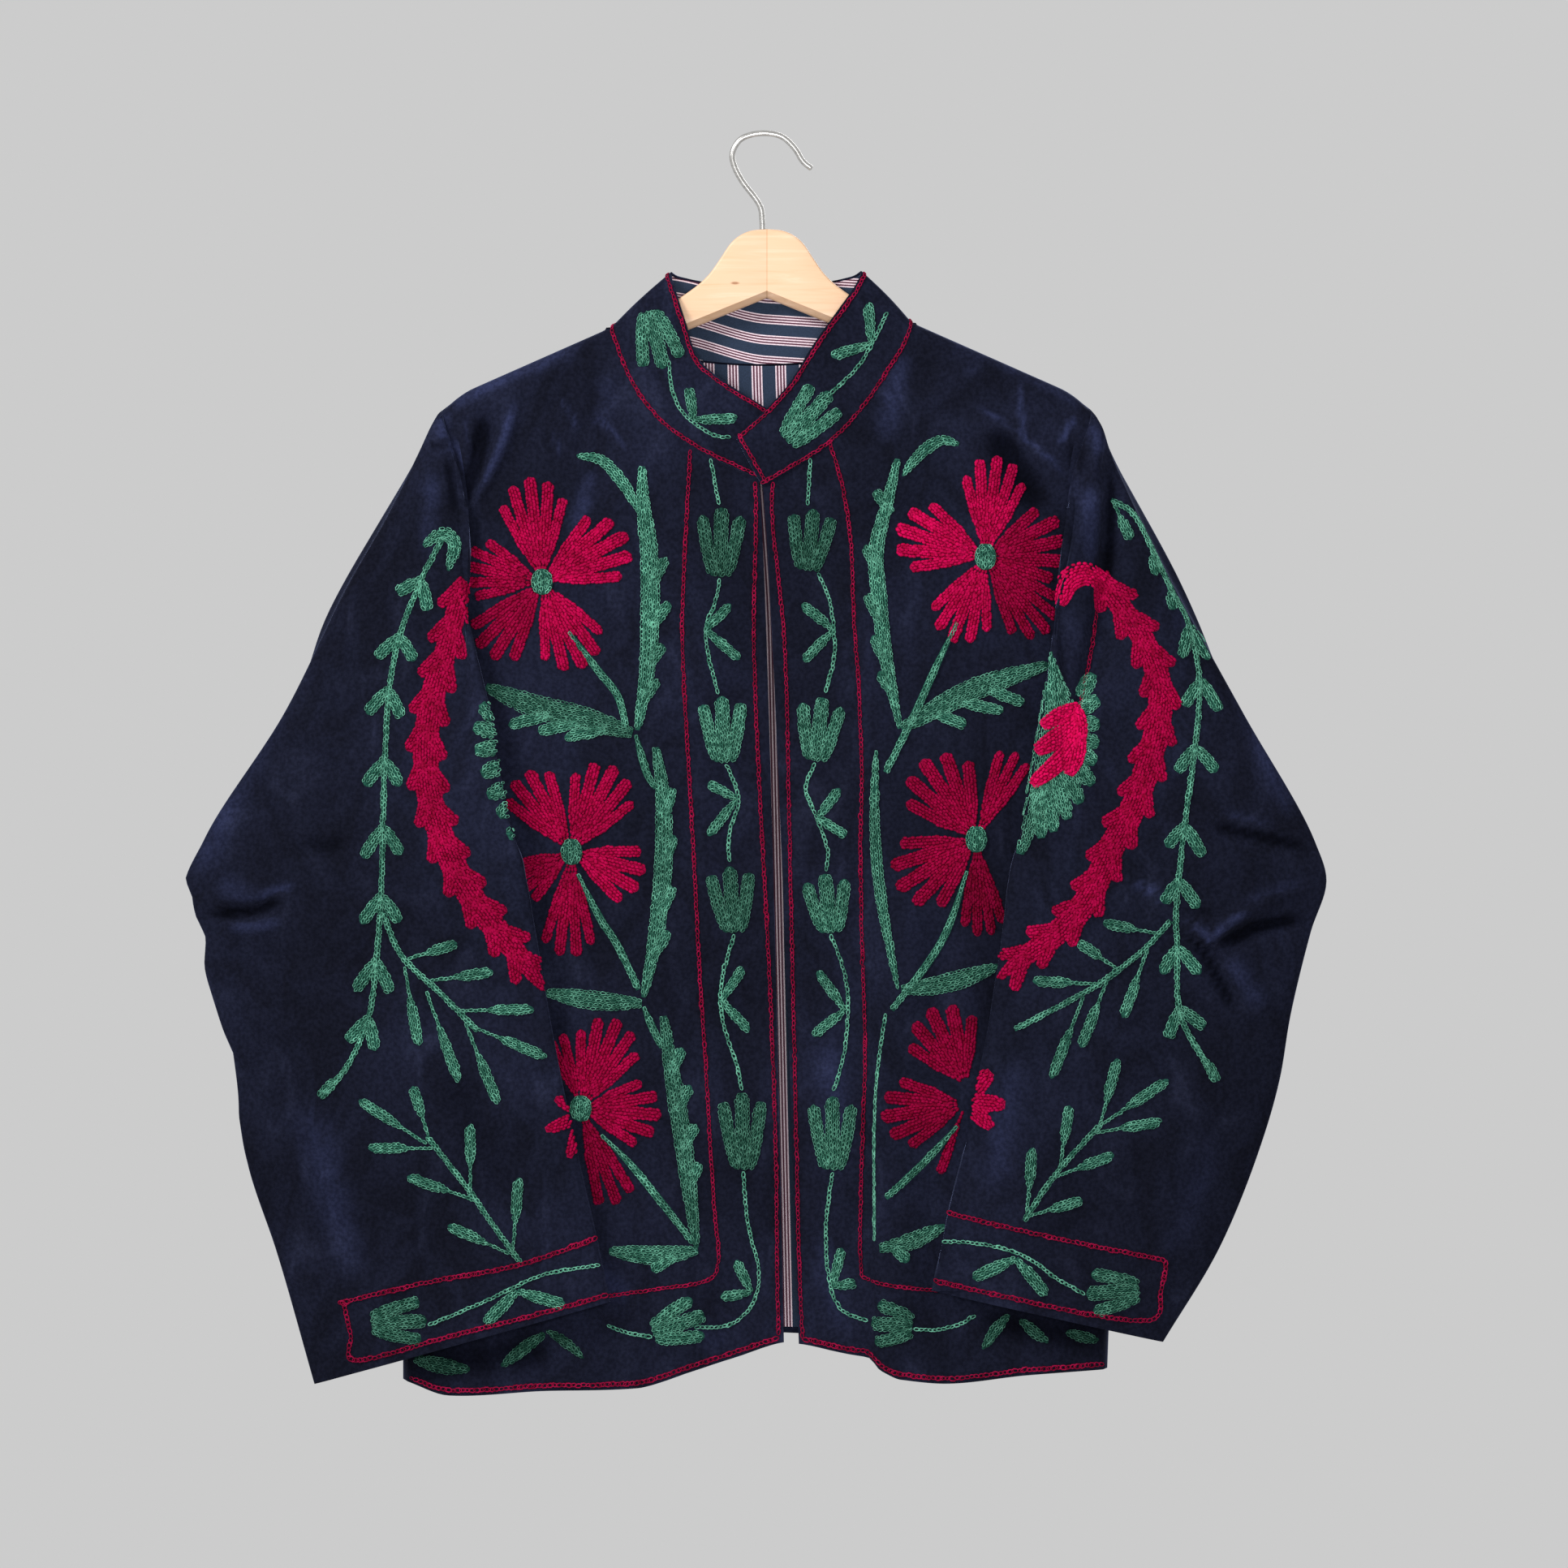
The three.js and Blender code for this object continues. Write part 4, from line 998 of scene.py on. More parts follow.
def striped_material(name, repeat, across, middle, bend):
    """
    Cotton with groups of thin pale lines: across is their way in x and z, and middle is where a group lies.
    A bend moves them, more and more from its start to its end along an axis.
    """
    look = new_material(name)
    way = (across[0] / repeat / MM, 0, across[1] / repeat / MM)
    straight = add_node(look, "VectorMath", {0: look.place, 1: way}, "Value", operation="DOT_PRODUCT")
    place = maths(look, "ADD", straight, STRIPE_MIDDLE - middle / repeat)
    limits = {"From Min": bend.start * MM, "From Max": bend.end * MM, "To Max": bend.by / repeat}
    inputs = {"Value": axis_of(look, bend.axis), **limits}
    bent = add_node(look, "MapRange", inputs, "Result", interpolation_type="SMOOTHSTEP")
    within = maths(look, "FRACT", maths(look, "ADD", place, bent))
    weave = noise(look, 1300, 2)
    paint(look, ramp(look, within, STRIPES, "CONSTANT"), greys(look, weave, (0.3, 0.8), (0.7, 1.1)))
    set_shader(look, Roughness=0.8, Specular_IOR_Level=0.2)
    bump(look, weave, 0.3, 0.0003)
    return look.material


KNOT = Named(x=-20.5, z=-95, flat=0.35, size=5)


def wood_material():
    """Pale wood with grain, a small knot and a fine line of glue down its middle."""
    look = new_material("pale_wood")
    grain = noise(look, 1, 6, stretch=(14, 120, 240), distortion=0.8)
    fibres = [(0.3, (0.67, 0.42, 0.245)), (0.5, (0.73, 0.47, 0.295)), (0.75, (0.79, 0.54, 0.37))]
    to_knot = (KNOT.x * -KNOT.flat * MM, 0, KNOT.z * -MM)
    inputs = {"Vector": look.place, "Location": to_knot, "Scale": (KNOT.flat, 0, 1)}
    from_knot = add_node(look, "Mapping", inputs, "Vector")
    away = add_node(look, "VectorMath", {0: from_knot}, "Value", operation="LENGTH")
    near = maths(look, "MULTIPLY", away, 1 / KNOT.size / MM)
    knot = ramp(look, near, [(0.08, (0.5, 0.36, 0.25)), (0.26, (1, 1, 1))])
    from_middle = maths(look, "ABSOLUTE", axis_of(look, "X"))
    in_millimetres = maths(look, "DIVIDE", from_middle, MM)
    glue = ramp(look, in_millimetres, [(0.15, (0.84, 0.78, 0.7)), (0.7, (1, 1, 1))])
    paint(look, ramp(look, grain, fibres), knot, glue)
    set_shader(look, Roughness=0.42, Specular_IOR_Level=0.45, Coat_Weight=0.1, Coat_Roughness=0.3)
    bump(look, grain, 0.12, 0.0004)
    return look.material


def steel_material():
    look = new_material("bright_steel")
    worn = noise(look, 300, 3, stretch=(1, 1, 4))
    paint(look, ramp(look, worn, [(0.3, (0.5, 0.49, 0.47)), (0.7, (0.68, 0.67, 0.65))]))
    set_shader(look, Metallic=1.0, Roughness=0.26)
    bump(look, worn, 0.05, 0.0002)
    return look.material


def stage_material():
    look = new_material("pale_floor")
    paint(look, greys(look, noise(look, 6, 2), (0.3, 0.66), (0.7, 0.7)))
    set_shader(look, Roughness=0.9)
    return look.material


VELVET_LOOK = velvet_material()
CRIMSON = thread_material("crimson_thread", (0.25, 0.0006, 0.026), (0.45, 0.0016, 0.062))
CRIMSON_LINE = thread_material("crimson_line_thread", (0.14, 0.003, 0.02), (0.33, 0.006, 0.052))
GREEN = thread_material("green_thread", (0.034, 0.145, 0.098), (0.172, 0.48, 0.345))
CRIMSON_BED = thread_material("crimson_bed", (0.22, 0.0008, 0.026), (0.38, 0.002, 0.055), 700)
# The green bed is thread under the loops, darkened far below the green thread: painted shade in the hollows
# of the loops.
GREEN_BED_PAINTED_SHADE = thread_material("green_bed", (0.006, 0.036, 0.026), (0.018, 0.09, 0.064), 700)
UPRIGHT_BEND = Named(axis="Z", start=-330, end=-152, by=5.9)
STRIPED_ACROSS = striped_material("striped_lining_upright", 15.4, (1, 0.0222), -4.0, UPRIGHT_BEND)
LEVEL_BEND = Named(axis="X", start=-62, end=0, by=10)
STRIPED_ALONG = striped_material("striped_lining_level", 13.4, (0.07, 1), -134, LEVEL_BEND)
WOOD = wood_material()
STEEL = steel_material()

# ---------- the cloth ----------
PANELS = {}


def add_velvet(name, grid, creased, **form):
    """A panel of velvet: the nap, with its painted highlights and painted shade, is that of the flat grid,
    and the form that of the creased one.
    """
    cloth = name.replace("_panel", "") + "_cloth"
    PANELS[name] = wall(cloth, creased, VELVET, VELVET_LOOK, nap_and_painted_light=nap_and_painted_light_of(name, grid), **form)


for side, half in (("left", LEFT), ("right", RIGHT)):
    name = "front_" + side
    flat = front_grid(half)
    add_velvet(name, flat, crease_panel(name, flat.copy(), "front"), flip=half is LEFT)
    name = "sleeve_" + side
    rings, angle = sleeve_grid(half, SLEEVE_RINGS[side])
    rings = below_shoulder(draw_in(rings) if half is LEFT else uneven_elbow(rings))
    add_velvet(name, rings, crease_sleeve(name, rings.copy(), angle), around=True, flip=half is RIGHT)
flat = back_grid()
add_velvet("back_panel", flat, crease_panel("back_panel", flat.copy(), "back"))
PANELS["collar"] = wall("collar_cloth", collar_grid(), VELVET, VELVET_LOOK, flip=True)
band = collar_grid(COLLAR_LINING.low, COLLAR_LINING.high, COLLAR_LINING.end, lowered=NECK_LOWERED.share)
PANELS["collar_lining"] = wall(
    "collar_lining_cloth", band, LINING, STRIPED_ALONG, inset=VELVET + SEAM, flip=True
)
PANELS["back_lining"] = wall("back_lining_cloth", lining_grid(), LINING, STRIPED_ACROSS)

# ---------- chain stitch ----------
# A motif is made of strokes: smooth lines whose width follows a shape from their start to their end.
# Each stroke is a low padded bed of thread, covered with rows of links.
BED = Named(high=1.1, full=8.0, sunk=0.35, columns=5, least_steps=9, step=5.0, most_jump=9.0)
LEAST_FACING = 0.12  # how far the cloth must face forwards, or backwards, to take a link
RAY_START = 300  # distance from the hanger's plane to where the rays that look for the cloth start
STROKE_END = 0.8  # share of a link's length that rows keep from a stroke's ends
LINK_JITTER = Named(place=0.16, turn=0.13, size=0.1)


def link_ring(long, wide, thread, around, sides=3):
    """An oval loop of thread, long and wide from its middle: points and faces, along x and facing +z."""
    turn = np.arange(around) * 2 * np.pi / around
    middle = np.stack([long * np.cos(turn), wide * np.sin(turn), np.zeros(around)], axis=1)
    out = np.stack([np.cos(turn), np.sin(turn), np.zeros(around)], axis=1)
    lean = np.arange(sides) * 2 * np.pi / sides + np.pi / 2
    up = np.array((0, 0, 1))
    section = out[:, None] * np.cos(lean)[:, None] + up * np.sin(lean)[:, None]
    points = middle[:, None] + thread * section
    index = np.arange(around * sides).reshape(around, sides)
    index = np.concatenate([index, index[:, :1]], axis=1)
    index = np.concatenate([index, index[:1]])
    return points.reshape(-1, 3), quads_of(index)[:, ::-1]


def link_grain(long, wide, high, sides=6):
    """A loop pulled tight: a low grain of thread, long and wide from its middle."""
    turn = np.arange(sides) * 2 * np.pi / sides
    foot = np.stack([long * np.cos(turn), wide * np.sin(turn), np.full(sides, -high * 0.5)], axis=1)
    top = foot * (0.6, 0.5, 0) + (0, 0, high)
    index = np.arange(2 * sides).reshape(2, sides)
    around = quads_of(np.concatenate([index, index[:, :1]], axis=1))
    halves = [[index[1, 0], index[1, k], index[1, k + 1], index[1, k + 2]] for k in range(1, sides - 2, 2)]
    return np.concatenate([foot, top]), np.concatenate([around, halves, np.array(halves)[:, ::-1] - sides])


# The threads: a link, its half width and length, and how far apart links and rows lie.
LINE_THREAD = Named(
    link=link_ring(1.95, 0.95, 0.5, around=7), pitch=2.9, long=2.4, row=3.0, half=1.4, lift=0.45
)
BORDER_THREAD = Named(
    link=link_ring(2.2, 1.25, 0.58, around=7), pitch=3.1, long=2.7, row=3.0, half=1.8, lift=0.5
)
CRIMSON_FILL = Named(link=link_grain(1.8, 1.2, 0.45), pitch=2.6, long=1.8, row=1.9, half=1.05, lift=0.0)
GREEN_FILL = Named(
    link=link_ring(1.7, 0.95, 0.42, around=5), pitch=2.9, long=2.1, row=2.4, half=1.35, lift=0.15
)
COLOURS = {
    "crimson": Named(line=CRIMSON_LINE, look=CRIMSON, bed=CRIMSON_BED, fill=CRIMSON_FILL),
    "green": Named(line=GREEN, look=GREEN, bed=GREEN_BED_PAINTED_SHADE, fill=GREEN_FILL),
}


# Shapes: the share of a stroke's full width, for the share of its length.
def even(share):
    return np.ones_like(share)


def round_end(share, long):
    """Full, then round over the last share of the length."""
    return np.sqrt(clamp01(1 - (np.maximum(0, share - 1 + long) / long) ** 2))


def bud(share):
    """A narrow stalk, then a longer, full part that is round at its end."""
    return mix(0.46, 1, smooth((share - 0.34) / 0.24)) * round_end(share, 0.16)


def drop(share):
    """Narrow only where it starts, and round at its end."""
    return mix(0.6, 1, smooth(share / 0.45)) * round_end(share, 0.2)


def lobe(share):
    """Nearly full where it starts, and round at its end."""
    return mix(0.8, 1, smooth(share / 0.4)) * round_end(share, 0.25)


def tongue(share):
    """Full where it starts, slowly narrower, and blunt at its end."""
    return mix(1, 0.62, share) * round_end(share, 0.14)


def leaf(share):
    """Pointed at both ends."""
    return clamp01(np.sin(np.pi * (0.08 + 0.86 * share))) ** 0.6


def petal(share):
    """Narrow at both ends and round."""
    return clamp01(np.sin(np.pi * (0.15 + 0.75 * share))) ** 0.5


def wedge(share):
    """A point that widens to its end."""
    return mix(0.1, 1, share)


def stem(share):
    """Thin only where it starts."""
    return mix(0.5, 1, smooth(share / 0.4))


def disc(share):
    return np.sqrt(clamp01(1 - (2 * share - 1) ** 2))


def cup(share):
    """Round at both ends and full between them."""
    return mix(0.85, 1, smooth(share / 0.3)) * round_end(share, 0.13) * round_end(1 - share, 0.12)


def run_of(line):
    """The length along a line, at each of its points."""
    return np.concatenate([[0], np.cumsum(np.linalg.norm(np.diff(line, axis=0), axis=1))])


def stroke(points, width, shape=even, lift=(0, 0), tone=1.0):
    """
    A stroke through points (x, z); lift is its height over the cloth, where it starts and where it ends,
    and tone is how light its thread is: partly its own tone, partly painted shade below 1 and painted light
    above 1.
    """
    line = smooth_line(points)
    return Named(line=line, length=run_of(line), width=width, shape=shape, lift=lift, tone=tone)


def beside(one, at, across):
    """Places beside a stroke's line and its heading there, for lengths along it and distances across it."""
    heading = np.gradient(one.line, one.length, axis=0)
    place, along = (
        np.stack([np.interp(at, one.length, values[:, k]) for k in (0, 1)], axis=-1)
        for values in (one.line, heading)
    )
    along /= np.linalg.norm(along, axis=-1, keepdims=True)
    return place + np.stack([-along[..., 1], along[..., 0]], axis=-1) * across[..., None], along


def width_at(one, at):
    return one.width * one.shape(clamp01(at / one.length[-1]))


def row_offset(one, at, share, thread):
    """Distance across a stroke of a row of links, for its share of the way to either side."""
    return share * np.maximum(0, width_at(one, at) - 2 * thread.half)


def bed_high(wide):
    """How high a bed's middle stands, for its width."""
    return BED.high * np.minimum(1, wide / BED.full)


def rows_in(wide, thread):
    """How many rows of links fill a width."""
    return np.maximum(1, np.round((wide - 2 * thread.half) / thread.row) + 1).astype(int)


def stitch(one, thread):
    """Rows of links over a stroke: x, z, heading, height over the cloth, slope across and tone of each, the
    tone partly painted shade and light.
    """
    total = one.length[-1]
    end = thread.long * STROKE_END
    links = []
    for count in range(1, int(rows_in(one.width, thread)) + 1):
        for row in range(count):
            share = (row - (count - 1) / 2) / max(1, count - 1)
            start = end + thread.pitch * 0.5 * (row % 2)
            at = np.arange(start, max(start + 0.1, total - end), thread.pitch)
            at = at[rows_in(width_at(one, at), thread) == count]
            wide = width_at(one, at)
            across = row_offset(one, at, share, thread)
            bend = row_offset(one, at + 0.5, share, thread) - row_offset(one, at - 0.5, share, thread)
            side = across / np.maximum(wide / 2, 1)
            place, along = beside(one, at, across)
            along = along + np.stack([-along[:, 1], along[:, 0]], axis=1) * bend[:, None]
            height = bed_high(wide) * (1 - side**2) + mix(*one.lift, at / total)
            slope = -2 * bed_high(wide) * side / np.maximum(wide / 2, 1)
            links.append(np.column_stack([place, along, height, slope, np.full(len(at), one.tone)]))
    return np.concatenate(links)


def lay_on(panel, place, from_behind=False):
    """Where places (x, z) meet a panel: whether they do, the points, and the normals that face out."""
    way = -1 if from_behind else 1
    towards = Vector((0, way, 0))
    points, normals = [], []
    for x, z in place:
        hit, normal, _, _ = panel.tree.ray_cast(Vector((x, -way * RAY_START, z)), towards)
        points.append(hit or (0, 0, 0))
        normals.append(normal or (0, 0, 0))
    points, normals = np.array(points, float), np.array(normals, float)
    normals *= np.where(normals[:, 1] * way > 0, -1, 1)[:, None]
    return np.abs(normals[:, 1]) > LEAST_FACING, points, normals


def bed_mesh(one, panel):
    """The padded bed of a stroke on a panel: points and faces."""
    steps = BED.least_steps + int(one.length[-1] / BED.step)
    share = np.broadcast_to((1 - np.cos(np.linspace(0, np.pi, steps)))[:, None] / 2, (steps, BED.columns))
    side = np.linspace(-1, 1, BED.columns)
    wide = one.width * one.shape(share)
    place, _ = beside(one, share * one.length[-1], side * wide / 2)
    found, points, normals = lay_on(panel, place.reshape(-1, 2))
    height = bed_high(wide) * (1 - side**2) + mix(*one.lift, share) - BED.sunk
    faces = quads_of(np.arange(steps * BED.columns).reshape(steps, BED.columns))[:, ::-1]
    flat = np.ptp(points[faces][..., 1], axis=1) < BED.most_jump
    faces = faces[found[faces].all(axis=1) & flat]
    used, faces = np.unique(faces, return_inverse=True)
    return (points + normals * height.reshape(-1, 1))[used], faces.reshape(-1, 4)


def join(parts):
    """The points and faces of many meshes as those of one."""
    start = np.cumsum([0] + [len(points) for points, _ in parts])
    return (
        np.concatenate([points for points, _ in parts]),
        np.concatenate([faces + first for (_, faces), first in zip(parts, start)]),
    )


def place_links(links, panel, from_behind=False):
    """Point, heading, normal, slope and tone, partly painted shade and light, of each link that meets the
    panel; the others are left out.
    """
    found, points, normals = lay_on(panel, links[:, :2], from_behind)
    points, normals, links = points[found], normals[found], links[found]
    along = np.stack([links[:, 2], np.zeros(len(links)), links[:, 3]], axis=1)
    along[:, 1] = -(along * normals).sum(axis=1) / normals[:, 1]
    return np.column_stack([points + normals * links[:, 4:5], along, normals, links[:, 5:]])


def add_links(name, laid, thread, material):
    """One mesh with a link at each place, a little uneven as handwork is."""
    points, faces = thread.link
    count = len(laid)
    centre, along, normal, slope = laid[:, 0:3], laid[:, 3:6], laid[:, 6:9], laid[:, 9:10]
    along = along / np.linalg.norm(along, axis=1, keepdims=True)
    across = np.cross(normal, along)
    across, normal = across + slope * normal, normal - slope * across
    across /= np.linalg.norm(across, axis=1, keepdims=True)
    normal /= np.linalg.norm(normal, axis=1, keepdims=True)
    turn = RANDOM.normal(0, LINK_JITTER.turn, count)[:, None]
    cosine, sine = np.cos(turn), np.sin(turn)
    along, across = along * cosine + across * sine, across * cosine - along * sine
    size = RANDOM.normal(1, LINK_JITTER.size, count)[:, None, None]
    shift = RANDOM.normal(0, LINK_JITTER.place, (count, 2))
    centre = centre + normal * thread.lift + along * shift[:, :1] + across * shift[:, 1:]
    axes = np.stack([along, across, normal], axis=1)
    placed = centre[:, None] + size * np.einsum("pk,nkc->npc", points, axes)
    all_faces = np.arange(count)[:, None, None] * len(points) + faces
    made = add_mesh(name, placed.reshape(-1, 3), all_faces.reshape(-1, 4), material)
    # Each link keeps its stroke's tone, partly painted shade and painted light.
    set_values(made, "tone", np.repeat(laid[:, 10], len(points)))
    return made


# ---------- motifs ----------
# A petal finger's width: its share of the fan at its end, between a least and a most; its edges reach over
# its neighbours' before that. The further a finger stands from its fan's middle one, the shorter it is.
FINGER = Named(share=0.64, least=7.0, most=9.2, overlap=1.3, spread=2.1, least_step=9, shorter=0.045)
HEART = 5.0  # from a flower's middle to where its petals start
EYE = Named(long=17, wide=14, lift=1.3)
PRONG = Named(middle=10, outer=9, middle_run=(0.02, 0.5, 0.98), bend=[(4, 0.03), (8.4, 0.4), (12.4, 0.87)])


def finger(centre, angle, step, reach, tone):
    """A stroke that fills its share of the fan near the heart, then stands free with a round end."""
    fan = FINGER.spread * math.tan(math.radians(max(step, FINGER.least_step)) / 2)
    width = float(np.clip(FINGER.share * fan * reach, FINGER.least, FINGER.most))

    def shape(share):
        spread = FINGER.overlap * fan * mix(HEART, reach, share)
        return np.minimum(1, spread / width) * round_end(share, 0.5 * width / reach)

    way = np.array((math.cos(angle), math.sin(angle)))
    return stroke([centre + way * HEART, centre + way * reach], width, shape, tone=tone)


def flower(centre, fans):
    """
    The fingers of a flower's fans. A fan has the angle of its middle in degrees (0 to the viewer's right),
    its count of fingers, the step between two of them, the longest one's reach and a tone, partly painted
    shade and light.
    """
    centre = np.array(centre, float)
    fingers = []
    for middle, count, step, longest, tone in fans:
        for k in range(count):
            from_middle = k - (count - 1) / 2
            reach = longest * (1 - FINGER.shorter * from_middle**2)
            fingers.append(finger(centre, math.radians(middle + step * from_middle), step, reach, tone))
    return fingers


def eye(centre):
    """The oval heart of a flower, on top of the petals."""
    x, z = centre
    return stroke([(x, z + EYE.long / 2), (x, z - EYE.long / 2)], EYE.wide, disc, lift=(EYE.lift, EYE.lift))


def tulip(base, tip, tone=1.0):
    """A cup of three prongs from its base to its middle tip."""
    base, tip = np.array(base, float), np.array(tip, float)
    up = tip - base
    right = np.array((up[1], -up[0])) / np.hypot(*up)
    prongs = [stroke([base + up * share for share in PRONG.middle_run], PRONG.middle, cup, tone=tone)]
    for side in (-1, 1):
        line = [base + right * side * out + up * share for out, share in PRONG.bend]
        prongs.append(stroke(line, PRONG.outer, cup, tone=tone))
    return prongs


def flowers(table):
    return [one for place in table for one in flower(*place)]


def tulips(table):
    return [prong for ends in table for prong in tulip(*ends)]


def leaves(table):
    return [stroke(line, width, leaf, tone=tone) for line, width, tone in table]


def buds(pairs, width, shape=bud, tone=1.0):
    """Straight strokes, each from its root to its tip."""
    return [stroke([root, tip], width, shape, tone=tone) for root, tip in pairs]


def leaf_pairs(table, width):
    """Two or more drops that leave each node of a vine."""
    return [one for node, *tips in table for one in buds([(node, tip) for tip in tips], width, drop)]


def serrated(points, tone, core=17.0, step=23.0, out=12.5, forward=19.0, width=12.0):
    """A solid band whose pointed lobes leave both sides in turn and lie along its run."""
    band = stroke(points, core, lobe, tone=tone)
    made = [band]
    for side, first in ((-1, 1.0), (1, 1.0 + 0.25 * step)):
        root = np.arange(first, band.length[-1] - forward, step)
        starts, _ = beside(band, root, np.zeros(len(root)))
        tips, _ = beside(band, root + forward, np.full(len(root), side * out))
        made += buds(zip(starts, tips), width, tongue, tone)
    return made
